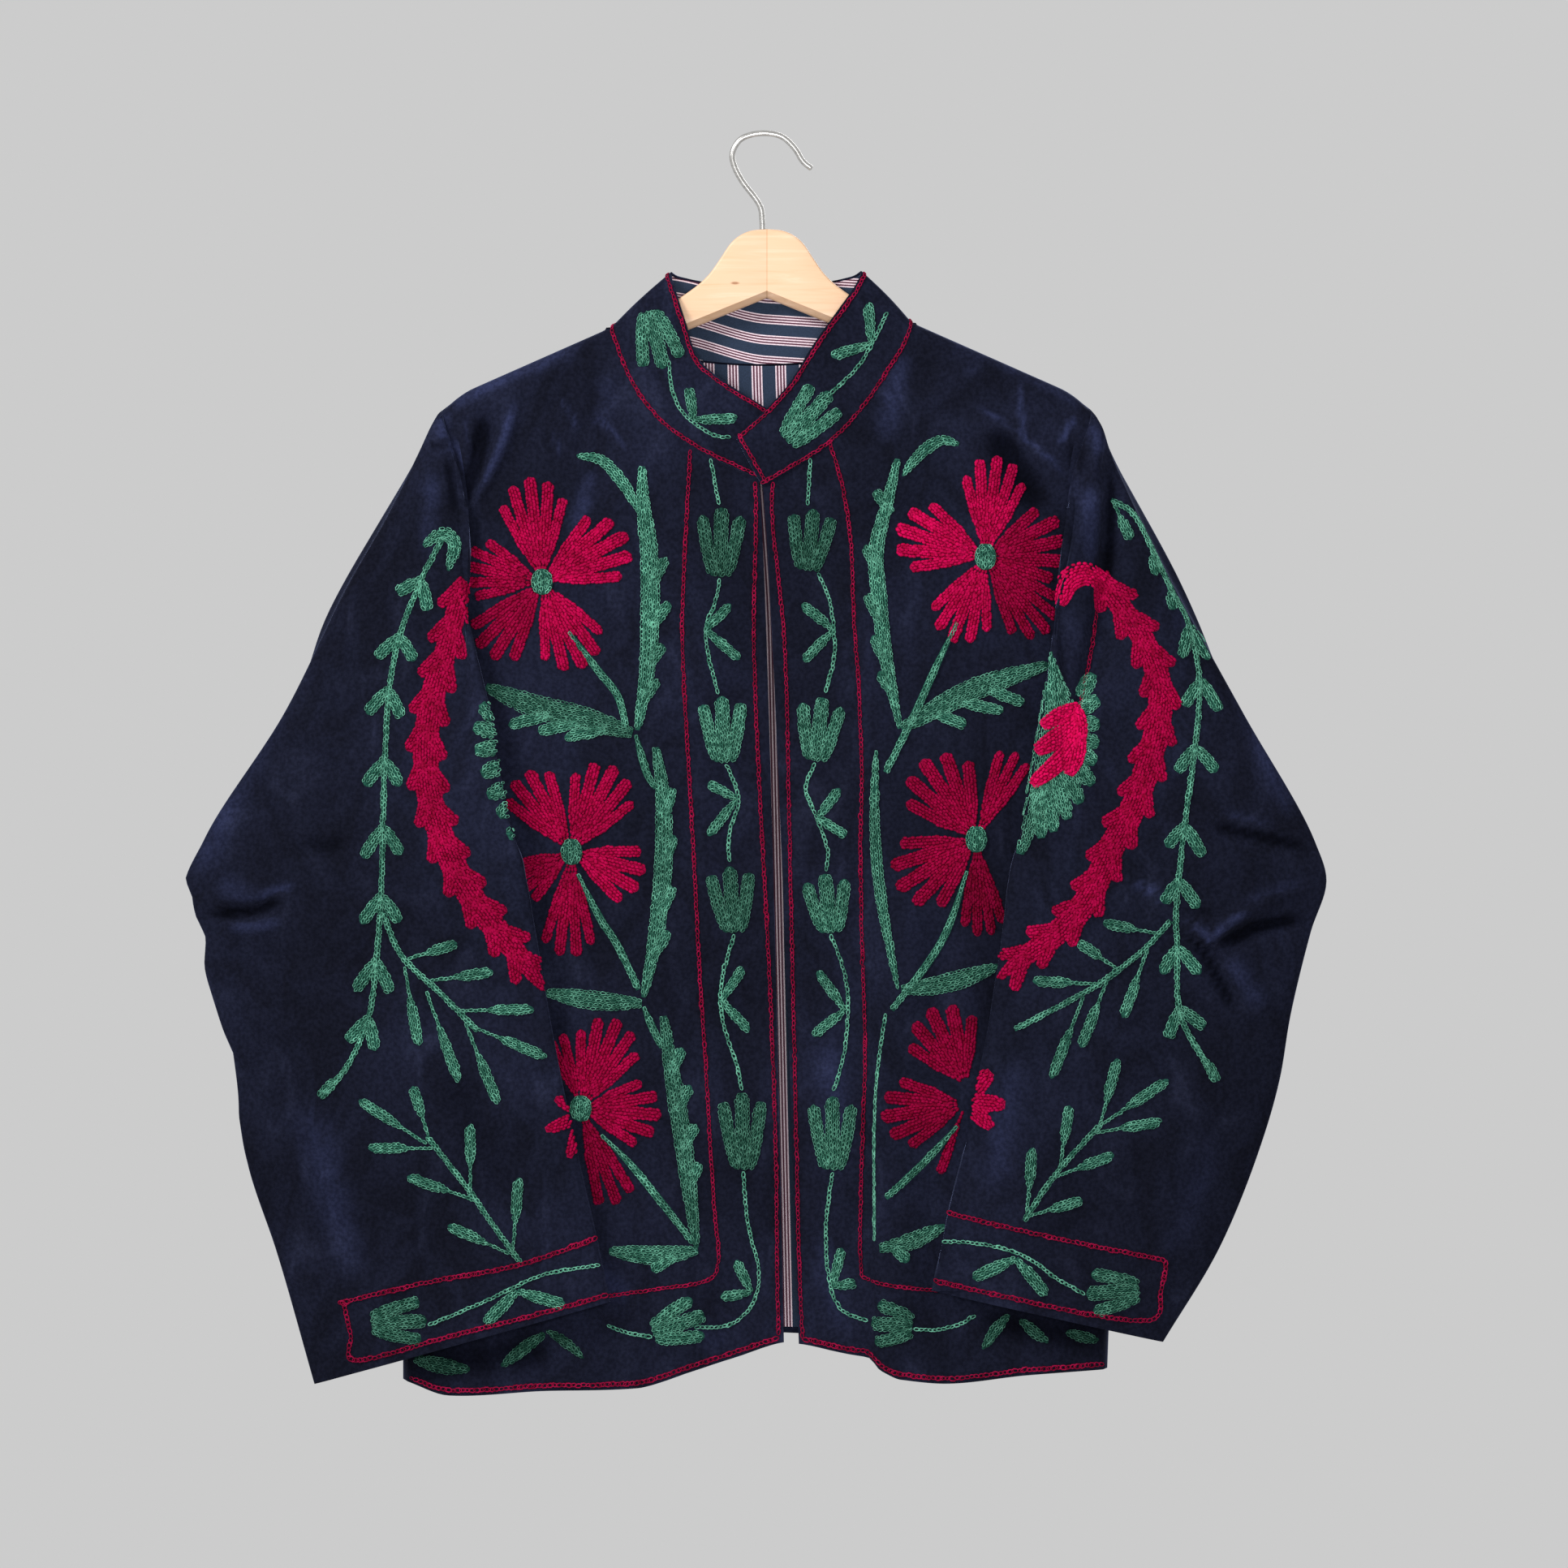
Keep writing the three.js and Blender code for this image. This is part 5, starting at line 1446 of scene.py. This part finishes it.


# Where the motifs lie, as points (x, z). Vines, stems, bands and lines are lines of points; tulips have a
# base, a tip and a tone; pairs a node and their tips; buds, lobes and scallops a root and a tip; leaves a
# line, a width and a tone; petals a line, a width, a height over the bed and a tone.
# Each tone is partly the thread's own and partly painted shade, below 1, and painted light, above 1.
FRONT_WORK = {
    "right": Named(
        tulips=[
            ((-30, -286), (-29, -239), 0.5), ((-27, -405), (-29, -360), 1.0),
            ((-21, -514), (-24, -469), 0.6), ((-15, -666), (-16, -614), 0.65),
            ((-74, -769), (-39, -757), 0.95),
        ],
        pairs=[
            ((-39, -319), (-23, -302), (-17, -338)), ((-19, -427), (-38, -417), (-38, -451)),
            ((-29, -556), (-15, -535), (-11, -576)), ((-10, -743), (-20, -722), (-30, -746)),
        ],
        vines=[
            [(-36, -209), (-33, -226), (-30, -240)], [(-25, -210), (-18, -215), (-11, -214)],
            [(-30, -286), (-33, -301), (-39, -318), (-37, -337), (-31, -360)],
            [(-26, -405), (-18, -427), (-24, -449), (-24, -469)],
            [(-21, -514), (-29, -545), (-28, -570), (-19, -598), (-16, -614)],
            [(-15, -666), (-12, -700), (-5, -730), (-10, -752), (-25, -764), (-46, -765)],
            [(-74, -771), (-88, -769), (-104, -763)],
        ],
        stems=[
            [(-127, -320), (-108, -345), (-95, -362), (-90, -384)],
            [(-121, -475), (-107, -503), (-96, -520), (-82, -549)],
            [(-106, -642), (-88, -660), (-70, -682), (-47, -711)], [(-84, -386), (-77, -410), (-71, -420)],
            [(-79, -560), (-73, -574), (-67, -586)],
        ],
        leaves=[
            ([(-122, -207), (-106, -210), (-92, -225), (-81, -245)], 8.5, 1.25),
            ([(-80, -214), (-79, -240), (-75, -274), (-75, -316), (-77, -347), (-83, -383)], 13, 1.15),
            ([(-86, -385), (-116, -376), (-148, -368), (-180, -355)], 17, 0.7),
            ([(-71, -394), (-66, -432), (-67, -480), (-72, -520), (-79, -554)], 12.5, 0.9),
            ([(-80, -558), (-110, -556), (-142, -551)], 13, 0.85),
            ([(-66, -566), (-60, -607), (-53, -650), (-45, -714)], 12.5, 0.75),
            ([(-44, -716), (-72, -719), (-101, -716)], 13, 0.9),
            ([(-141, -767), (-128, -775), (-117, -785)], 7, 0.4),
            ([(-142, -769), (-156, -779), (-170, -790)], 9, 0.4),
            ([(-226, -786), (-208, -790), (-190, -792)], 11, 0.35),
        ],
        lobes=[
            ((-75, -292), (-64, -272)), ((-75, -318), (-62, -301)), ((-77, -343), (-66, -328)),
            ((-79, -364), (-70, -350)), ((-102, -382), (-130, -388)), ((-120, -378), (-147, -384)),
            ((-138, -373), (-166, -380)), ((-67, -440), (-60, -420)), ((-67, -470), (-59, -450)),
            ((-69, -502), (-60, -483)), ((-72, -527), (-63, -511)), ((-62, -604), (-54, -586)),
            ((-58, -628), (-49, -610)), ((-55, -652), (-45, -635)), ((-51, -676), (-43, -660)),
            ((-58, -719), (-74, -729)),
        ],
        flowers=[
            (
                (-144, -288),
                [
                    (97, 5, 10.5, 68, 0.84), (29, 5, 12.5, 63, 0.98), (-64, 5, 11.6, 62, 0.86),
                    (-129, 4, 12.5, 60, 0.62), (168, 5, 12, 54, 0.72),
                ],
            ),
            (
                (-125, -461),
                [
                    (63, 5, 12, 62, 0.8), (124, 4, 12, 60, 0.8), (-22, 4, 15, 50, 0.9),
                    (-92, 4, 9.5, 68, 0.66), (-148, 4, 13, 44, 0.66),
                ],
            ),
            (
                (-119, -625),
                [
                    (67, 5, 11.5, 62, 0.74), (109, 2, 11, 50, 0.7), (-5, 5, 14, 52, 0.78),
                    (-69, 3, 10, 66, 0.5),
                ],
            ),
        ],
        inner_line=[
            (-49, -203), (-53, -278), (-54, -330), (-50, -408), (-47, -460), (-43, -538), (-39, -600),
            (-34, -684), (-31, -722),
        ],
        hem_line=[(-38, -735), (-66, -740), (-101, -745), (-150, -750), (-215, -756)],
        edge_line=[
            (-7.5, -224), (-7, -252), (-8.3, -330), (-3.9, -434), (1.6, -538), (5.5, -642), (6.5, -720),
            (7.5, -772),
        ],
    ),
    "left": Named(
        tulips=[
            ((26, -282), (30, -240), 0.5), ((31, -404), (36, -361), 0.85), ((41, -514), (37, -474), 0.85),
            ((42, -666), (42, -616), 0.82), ((94, -764), (66, -762), 0.6),
        ],
        pairs=[
            ((43, -319), (22, -302), (23, -339)), ((33, -439), (47, -420), (51, -451)),
            ((50, -562), (32, -537), (29, -579)), ((42, -739), (48, -714), (57, -737)),
        ],
        vines=[
            [(28, -209), (26, -241)], [(33, -282), (40, -300), (43, -319), (43, -337), (37, -361)],
            [(31, -404), (25, -421), (33, -441), (39, -460), (38, -474)],
            [(41, -514), (50, -540), (52, -565), (49, -592), (42, -616)],
            [(42, -666), (38, -700), (40, -735), (48, -754), (66, -761)],
            [(76, -564), (71, -600), (69, -640), (69, -710)],
            [(94, -766), (109, -766.5), (123, -763), (134, -757)],
        ],
        stems=[
            [(122, -314), (108, -343), (95, -372), (76, -410)], [(128, -473), (112, -518), (80, -562)],
            [(122, -636), (100, -660), (76, -682)],
        ],
        leaves=[
            ([(123, -200), (112, -197), (98, -206), (87, -220)], 8.5, 1.2),
            ([(84, -209), (77, -238), (70, -268), (72, -300), (76, -335), (85, -382)], 11, 1.15),
            ([(86, -382), (107, -370), (135, -356), (180, -341)], 15, 0.85),
            ([(70, -396), (69, -440), (73, -490), (84, -549)], 8, 0.9),
            ([(86, -549), (115, -545), (148, -534)], 13, 0.8),
            ([(72, -714), (92, -710), (114, -700)], 12, 0.9),
            ([(155, -757), (146, -767), (138, -779)], 8, 0.5),
            ([(162, -760), (171, -768), (180, -775)], 8, 0.4),
            ([(192, -768), (203, -772), (213, -774)], 8, 0.35),
        ],
        lobes=[
            ((80, -244), (69, -229)), ((72, -282), (63, -264)), ((72, -312), (64, -296)),
            ((75, -338), (68, -322)), ((79, -358), (72, -345)), ((107, -372), (128, -380)),
            ((124, -365), (152, -371)), ((142, -357), (165, -366)), ((80, -713), (91, -723)),
        ],
        flowers=[
            (
                (140, -272),
                [
                    (83, 5, 10.2, 66, 1.0), (162, 5, 13, 60, 1.15), (248, 5, 11.5, 59, 1.05),
                    (-50, 5, 10, 64, 0.56), (12, 5, 15, 56, 0.62),
                ],
            ),
            (
                (134, -453),
                [
                    (124, 5, 14, 62, 0.62), (65, 3, 9.5, 62, 0.67), (212, 5, 14.5, 60, 0.62),
                    (275, 4, 8.5, 63, 0.4),
                ],
            ),
            ((128, -610), [(116, 5, 15, 55, 0.5)]),
            ((127, -622), [(189, 5, 14, 55, 0.52), (250, 1, 0, 48, 0.6)]),
        ],
        inner_line=[
            (40, -198), (49, -229), (54, -266), (56, -314), (59, -356), (61, -414), (60, -455), (61, -521),
            (63, -586), (61, -652), (60, -722),
        ],
        hem_line=[(67, -735), (104, -741), (150, -744), (205, -742)],
        edge_line=[
            (3.8, -224), (3.8, -252), (11.5, -330), (14.2, -434), (16.6, -538), (18.8, -640), (21, -730),
            (23, -773),
        ],
    ),
}
SLEEVE_WORK = {
    "right": Named(
        vines=[
            [
                (-206, -258), (-220, -284), (-234, -320), (-241, -354), (-244, -401), (-245, -444),
                (-246, -488), (-249, -529), (-254, -566), (-268, -598), (-284, -616),
            ],
            [(-245, -499), (-233, -527), (-208, -551), (-184, -575)],
            [(-157, -723), (-172, -702), (-192, -674), (-217, -642)],
        ],
        pairs=[
            ((-221, -286), (-237, -295), (-217, -307)), ((-235, -322), (-250, -337), (-225, -339)),
            ((-242, -356), (-256, -373), (-233, -375)), ((-244, -401), (-257, -419), (-234, -419)),
            ((-245, -444), (-258, -465), (-233, -463)), ((-246, -488), (-259, -507), (-234, -506)),
            ((-249, -529), (-263, -550), (-240, -551)), ((-254, -566), (-268, -582), (-250, -588)),
            ((-159, -741), (-180, -762), (-128, -750)),
        ],
        buds=[
            ((-229, -529), (-197, -519)), ((-215, -543), (-174, -537)), ((-196, -562), (-148, -561)),
            ((-190, -571), (-140, -592)), ((-231, -534), (-222, -585)), ((-217, -550), (-196, -608)),
            ((-192, -570), (-171, -622)), ((-216, -642), (-226, -610)), ((-217, -647), (-261, -619)),
            ((-213, -650), (-255, -650)), ((-189, -678), (-189, -634)), ((-186, -683), (-230, -668)),
            ((-162, -715), (-158, -668)), ((-164, -717), (-204, -699)), ((-268, -598), (-286, -618)),
        ],
        leaves=[([(-220, -265), (-208, -257), (-200, -264), (-204, -281)], 9.5, 1.0)],
        wedge=[],
        scallops=[
            ((-174, -376), (-182, -366)), ((-172, -385), (-187, -381)), ((-168, -394), (-186, -396)),
            ((-166, -405), (-182, -411)), ((-163, -419), (-178, -425)), ((-161, -430), (-171, -438)),
            ((-156, -446), (-165, -451)),
        ],
        tulips=[((-254, -762), (-216, -760), 0.65)],
        band=[
            (-192, -288), (-198, -305), (-206, -335), (-213, -360), (-217, -385), (-217, -412),
            (-212, -437), (-203, -462), (-190, -487), (-174, -508), (-157, -528), (-141, -550),
        ],
        band_tone=0.7,
        petals=[
            ([(-120, -627), (-127, -622), (-135, -618)], 9, 0, 0.8),
            ([(-120, -629), (-130, -634), (-141, -638)], 9, 0, 0.8),
            ([(-119, -631), (-122, -643), (-126, -656)], 9, 0, 0.8),
        ],
        cuff_vine=[[(-216, -763), (-192, -753), (-168, -742), (-141, -730), (-104, -724)]],
        lines=[],
        cuff=[[
            (-108, -707), (-161, -725), (-213, -735), (-268, -748), (-270, -751), (-266, -770),
            (-262, -786), (-202, -770), (-151, -757), (-100, -743),
        ]],
    ),
    "left": Named(
        vines=[
            [
                (221, -235), (236, -245), (248, -268), (260, -294), (270, -314), (277, -350), (274, -393),
                (267, -443), (263, -478), (261, -505), (262, -521), (263, -560), (272, -582), (287, -606),
            ],
            [(258, -505), (236, -527), (205, -549), (158, -574)], [(164, -696), (186, -664), (214, -634)],
        ],
        pairs=[
            ((271, -315), (266, -337), (284, -338)), ((278, -350), (267, -368), (290, -371)),
            ((274, -393), (262, -410), (288, -410)), ((267, -443), (255, -458), (279, -464)),
            ((263, -478), (253, -494), (276, -497)), ((262, -521), (252, -539), (277, -539)),
            ((263, -560), (256, -580), (280, -573)), ((159, -720), (131, -733), (179, -744)),
        ],
        buds=[
            ((222, -236), (234, -261)), ((246, -262), (250, -284)), ((257, -288), (261, -306)),
            ((249, -513), (214, -506)), ((223, -535), (198, -518)), ((211, -545), (169, -543)),
            ((243, -523), (227, -567)), ((218, -540), (200, -586)), ((202, -553), (181, -606)),
            ((212, -636), (257, -606)), ((210, -640), (252, -633)), ((212, -638), (224, -592)),
            ((187, -662), (193, -622)), ((184, -668), (222, -654)), ((166, -690), (169, -649)),
            ((167, -693), (202, -683)), ((275, -584), (288, -608)),
        ],
        leaves=[([(178, -352), (177, -380), (173, -408), (168, -432), (161, -462)], 20, 0.9)],
        wedge=[([(181.5, -333), (184, -350), (188, -368), (188, -384)], 25)],
        scallops=[
            ((200, -362), (209, -347)), ((199, -371), (212, -363)), ((200, -380), (212.5, -378.5)),
            ((200, -389), (212, -391.5)), ((198, -396), (210, -404)), ((195, -402), (208, -418)),
            ((190, -407), (200, -430)), ((184, -411), (192, -440)), ((178, -414), (183, -448)),
            ((172, -418), (175, -452)),
        ],
        tulips=[((239, -741), (203, -743), 0.75)],
        band=[
            (213, -284), (224, -300), (237, -318), (247, -338), (252, -358), (250, -380), (244, -404),
            (234, -433), (223, -452), (205, -490), (187, -511), (165, -527), (147, -542),
        ],
        band_tone=0.8,
        petals=[
            ([(217, -288), (204, -283), (193, -288), (187, -303)], 16, 0, 1.5),
            ([(199, -369), (188, -373), (176, -381)], 11, 1.5, 1.4),
            ([(200, -376), (188, -386), (172, -397)], 13, 1.5, 1.4),
            ([(199, -384), (187, -402), (169, -418)], 12, 1.5, 1.4),
            ([(196, -368), (199, -381), (197, -396)], 12, 1.5, 1.4),
            ([(199, -385), (197, -399), (192, -412)], 12, 1.5, 1.4),
            ([(128, -618), (136, -608), (143, -601)], 13, 0, 0.9),
            ([(130, -620), (141, -621), (152, -622)], 12, 0, 0.9),
            ([(129, -623), (137, -630), (143, -637)], 11, 0, 0.9),
        ],
        cuff_vine=[[(112, -709), (139, -711), (165, -719), (185, -733), (204, -744)]],
        lines=[[(211.5, -306), (208, -330), (204, -350), (200, -368)]],
        cuff=[[
            (115, -691), (183, -707), (240, -719), (253, -722), (255, -727), (252, -742), (247, -760),
            (205, -756), (150, -744), (106, -734),
        ]],
    ),
}
COLLAR_WORK = Named(
    tulips=[((-76, -112), (-66, -152)), ((12, -199), (42, -165))],
    pairs=[((-47, -184), (-50, -163), (-19, -183)), ((67, -135), (65, -108), (41, -143))],
    vines=[
        [(-63, -146), (-61, -163), (-56, -176), (-47, -186), (-33, -194), (-22, -195)],
        [(41, -167), (58, -150), (70, -130), (78, -112)],
    ],
)

WIDTHS = Named(
    front_pairs=7.2, lobes=8.2, stems=5.0, vines=4.3, sleeve_pairs=8.6, buds=7.6, scallops=11.4,
    collar_pairs=7.6,
)
HEM_INSET = 3.5  # from the hem's edge to the crimson line along it
HEM_SHORT = Named(front=2, back=6)  # from a side seam to where that line ends
HEM_SAMPLES = 24
EYE_FANS = 3  # a flower shows its heart when it has at least so many fans
EMBROIDERY = {name: [] for name in PANELS}


def embroider(panel_name, colour, lines=(), borders=(), strokes=(), from_behind=False):
    """Lays line work, and the beds and links of strokes, on a panel as joined meshes."""
    panel, thread = PANELS[panel_name], COLOURS[colour]
    made = EMBROIDERY[panel_name]
    name = panel_name + "_" + colour
    for ending, drawn, line_thread in (("_line", lines, LINE_THREAD), ("_border", borders, BORDER_THREAD)):
        if len(drawn):
            links = np.concatenate([stitch(stroke(line, 0), line_thread) for line in drawn])
            laid = place_links(links, panel, from_behind)
            made.append(add_links(name + ending, laid, line_thread, thread.line))
    if len(strokes):
        links = np.concatenate([stitch(one, thread.fill) for one in strokes])
        made.append(add_links(name + "_fill", place_links(links, panel), thread.fill, thread.look))
        beds = [bed_mesh(one, panel) for one in strokes]
        made.append(add_mesh(name + "_bed", *join(beds), thread.bed))
        # Each bed keeps its stroke's tone, partly painted shade and painted light.
        tones = [np.full(len(points), one.tone) for (points, _), one in zip(beds, strokes)]
        set_values(made[-1], "tone", np.concatenate(tones))


for side, half in (("left", LEFT), ("right", RIGHT)):
    work = FRONT_WORK[side]
    hem_from, hem_to = half.side * work.edge_line[-1][0], half.hem_x - HEM_SHORT.front
    hem_x = half.side * np.linspace(hem_from, hem_to, HEM_SAMPLES)
    hem = np.stack([hem_x, read_hem(half, hem_x) + HEM_INSET], axis=1)
    embroider(
        "front_" + side,
        "crimson",
        lines=[work.edge_line, [*work.inner_line, *work.hem_line]],
        borders=[hem],
        strokes=flowers(work.flowers),
    )
    embroider(
        "front_" + side,
        "green",
        lines=work.vines,
        strokes=[
            *tulips(work.tulips),
            *leaf_pairs(work.pairs, WIDTHS.front_pairs),
            *leaves(work.leaves),
            *buds(work.lobes, WIDTHS.lobes, lobe),
            *(stroke(line, WIDTHS.stems, stem, lift=(EYE.lift, 0)) for line in work.stems),
            *(eye(centre) for centre, fans in work.flowers if len(fans) >= EYE_FANS),
        ],
    )
    work = SLEEVE_WORK[side]
    embroider(
        "sleeve_" + side,
        "crimson",
        lines=work.lines,
        borders=work.cuff,
        strokes=[
            *serrated(work.band, work.band_tone),
            *(stroke(line, width, petal, (high, high), tone) for line, width, high, tone in work.petals),
        ],
    )
    embroider(
        "sleeve_" + side,
        "green",
        lines=work.cuff_vine,
        strokes=[
            *(stroke(line, WIDTHS.vines) for line in work.vines),
            *leaf_pairs(work.pairs, WIDTHS.sleeve_pairs),
            *buds(work.buds, WIDTHS.buds),
            *leaves(work.leaves),
            *(stroke(line, width, wedge) for line, width in work.wedge),
            *buds(work.scallops, WIDTHS.scallops, petal),
            *tulips(work.tulips),
        ],
    )
embroider(
    "collar",
    "green",
    lines=COLLAR_WORK.vines,
    strokes=tulips(COLLAR_WORK.tulips) + leaf_pairs(COLLAR_WORK.pairs, WIDTHS.collar_pairs),
)
back_x = np.linspace(HEM_SHORT.back - RIGHT.hem_x, LEFT.hem_x - HEM_SHORT.back, 2 * HEM_SAMPLES)
back_hem = np.stack([back_x, back_hem_z(back_x) + HEM_INSET], axis=1)
embroider("back_panel", "crimson", borders=[back_hem], from_behind=True)

ROUND_SAMPLES = 400
END_SAMPLES = 30
NECK_LINE = Named(low=0.035, high=0.95, end=0.06)  # heights up the band, and sections left out at its ends
END_LINE = Named(low=0.04, high=0.96, inset=0.1)
SMALL_STEP = 0.02


def collar_line(at, up):
    """Links along the collar's own surface, at section numbers and heights up the band."""
    place = collar_surface(at, up)
    length = run_of(place)
    stations = np.arange(LINE_THREAD.pitch / 2, length[-1], LINE_THREAD.pitch)
    across = collar_surface(at + SMALL_STEP, up) - collar_surface(at - SMALL_STEP, up)
    upwards = collar_surface(at, up + SMALL_STEP) - collar_surface(at, up - SMALL_STEP)
    normal = np.cross(upwards, across)
    normal /= np.linalg.norm(normal, axis=1, keepdims=True)
    heading = np.gradient(place, axis=0)
    columns = np.column_stack([place, heading, normal, np.zeros(len(at)), np.ones(len(at))])
    return np.stack([np.interp(stations, length, column) for column in columns.T], axis=1)


round_neck = np.linspace(NECK_LINE.end, LAST_SECTION - NECK_LINE.end, ROUND_SAMPLES)
up_the_end = np.linspace(END_LINE.low, END_LINE.high, END_SAMPLES)
ends = END_LINE.inset, LAST_SECTION - END_LINE.inset
laid = [collar_line(round_neck, np.full(ROUND_SAMPLES, up)) for up in (NECK_LINE.high, NECK_LINE.low)]
laid += [collar_line(np.full(END_SAMPLES, at), up_the_end) for at in ends]
EMBROIDERY["collar"].append(
    add_links("collar_crimson_line", np.concatenate(laid), LINE_THREAD, CRIMSON_LINE)
)

# ---------- the hanger ----------
CORNER_STEPS = 5
BAR_STEPS = 8  # sections of the bar for each row of its table
BAR_SHARP = 50  # degrees
HOOK_SIDES = 20


def bar_section(side, x, top, bottom, half_deep):
    """A rectangle across the arm: three of its corners are round, and the lower front one is bevelled."""
    corner = BAR_CORNER * min(half_deep, (top - bottom) / 2)
    bevel = min(1, half_deep / BAR_BEVEL.deep)
    ring = []
    for quarter, (out_y, out_z) in enumerate([(1, 1), (-1, 1), (-1, -1), (1, -1)]):
        for share in np.linspace(0, 1, CORNER_STEPS):
            turn = (quarter + share) * math.pi / 2
            y = out_y * (half_deep - corner) + corner * math.cos(turn)
            z = (top + bottom) / 2 + out_z * ((top - bottom) / 2 - corner) + corner * math.sin(turn)
            if (out_y, out_z) == (-1, -1):
                y = -half_deep + BAR_BEVEL.deep * bevel * share
                z = bottom + BAR_BEVEL.high * bevel * (1 - share)
            ring.append((side * x, BAR_Y - SWEEP * x + y, z))
    return ring


arm = smooth_line(BAR, BAR_STEPS)
sections = [bar_section(-1, *row) for row in arm[:0:-1]] + [bar_section(1, *row) for row in arm]
bar = loft("hanger_bar_wood", np.array(sections), WOOD, BAR_SHARP)
hook_points = smooth_line([(x, 0, z) for x, z in HOOK_PATH])
hook = tube("hanger_hook_wire", hook_points, HOOK_WIRE, HOOK_SIDES, STEEL)

# ---------- the pieces on the body, in place of the imported ones ---
# The flat size and the area of each cloth's cut, in metres.
CUTS = {
    "front_left": Named(flat=(0.27, 0.70), area=0.145),
    "front_right": Named(flat=(0.27, 0.70), area=0.15),
    "back_panel": Named(flat=(0.50, 0.69), area=0.29),
    "sleeve_left": Named(flat=(0.46, 0.56), area=0.2),
    "sleeve_right": Named(flat=(0.46, 0.56), area=0.2),
    "collar": Named(flat=(0.42, 0.06), area=0.02),
    "collar_lining": Named(flat=(0.40, 0.055), area=0.02),
    "back_lining": Named(flat=(0.20, 0.64), area=0.11),
}
for name, panel in PANELS.items():
    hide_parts(name)
    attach(panel.piece, BODY)
    for piece in EMBROIDERY[name]:
        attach(piece, BODY)
for piece, node, slot in ((bar, "hanger_bar", "wood"), (hook, "hanger_hook", "steel")):
    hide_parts(node)
    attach(piece, BODY)

# ---------- floor, light and camera ----------
FLOOR_Z = -1.6  # in metres, as are its radii
FLOOR_RADII = (0.5, 1.2, 1.9)
FLOOR_SIDES = 64
turn = np.arange(FLOOR_SIDES) * 2 * np.pi / FLOOR_SIDES
circle = np.stack([np.cos(turn), np.sin(turn)], axis=1)
rings = [np.column_stack([radius * circle, np.full(FLOOR_SIDES, FLOOR_Z)]) for radius in FLOOR_RADII]
index = np.arange(len(rings) * FLOOR_SIDES).reshape(len(rings), FLOOR_SIDES)
around = np.concatenate([index, index[:, :1]], axis=1)[::-1]
floor_faces = [*quads_of(around).tolist(), index[0].tolist()]
floor = add_mesh("floor", np.concatenate(rings) / MM, floor_faces, stage_material())

STUDIO_GREY = 0.604
world = bpy.data.worlds.new("studio")
bpy.context.scene.world = world
world.use_nodes = True
background = world.node_tree.nodes["Background"]
background.inputs["Color"].default_value = (STUDIO_GREY, STUDIO_GREY, STUDIO_GREY, 1)
background.inputs["Strength"].default_value = 1.0
bpy.context.scene.view_settings.view_transform = "Standard"


AIM = Vector((0, 0, -0.4))


def area_light(name, place, size, power):
    """A round lamp at a place, turned towards the jacket's middle."""
    light = bpy.data.lights.new(name, "AREA")
    light.shape = "DISK"
    light.size = size
    light.energy = power
    made = bpy.data.objects.new(name, light)
    made.location = place
    made.rotation_euler = (AIM - Vector(place)).to_track_quat("-Z", "Y").to_euler()
    bpy.context.scene.collection.objects.link(made)


area_light("key", (-1.3, -1.3, 0.9), size=0.7, power=36)
area_light("fill", (0.02, -2.3, -0.4), size=0.5, power=22)
area_light("behind", (0.6, 1.8, 0.6), size=1.2, power=12)

PHOTO_CENTRE = Vector((0.011, 0, -0.4175))  # the point that the photo's middle shows
CAMERA_DISTANCE = 5.0
FRAME_WIDTH = 1.0046  # of what the camera sees at the jacket
SENSOR = 36
OBJECT_PLANE_Y = -0.03  # where the frame's width is measured
camera_data = bpy.data.cameras.new("camera")
camera_data.sensor_width = SENSOR
camera_data.lens = SENSOR * CAMERA_DISTANCE / FRAME_WIDTH
camera = bpy.data.objects.new("camera", camera_data)
camera.location = PHOTO_CENTRE + Vector((0, OBJECT_PLANE_Y - CAMERA_DISTANCE, 0))
camera.rotation_euler = (math.pi / 2, 0, 0)
bpy.context.scene.collection.objects.link(camera)
bpy.context.scene.camera = camera
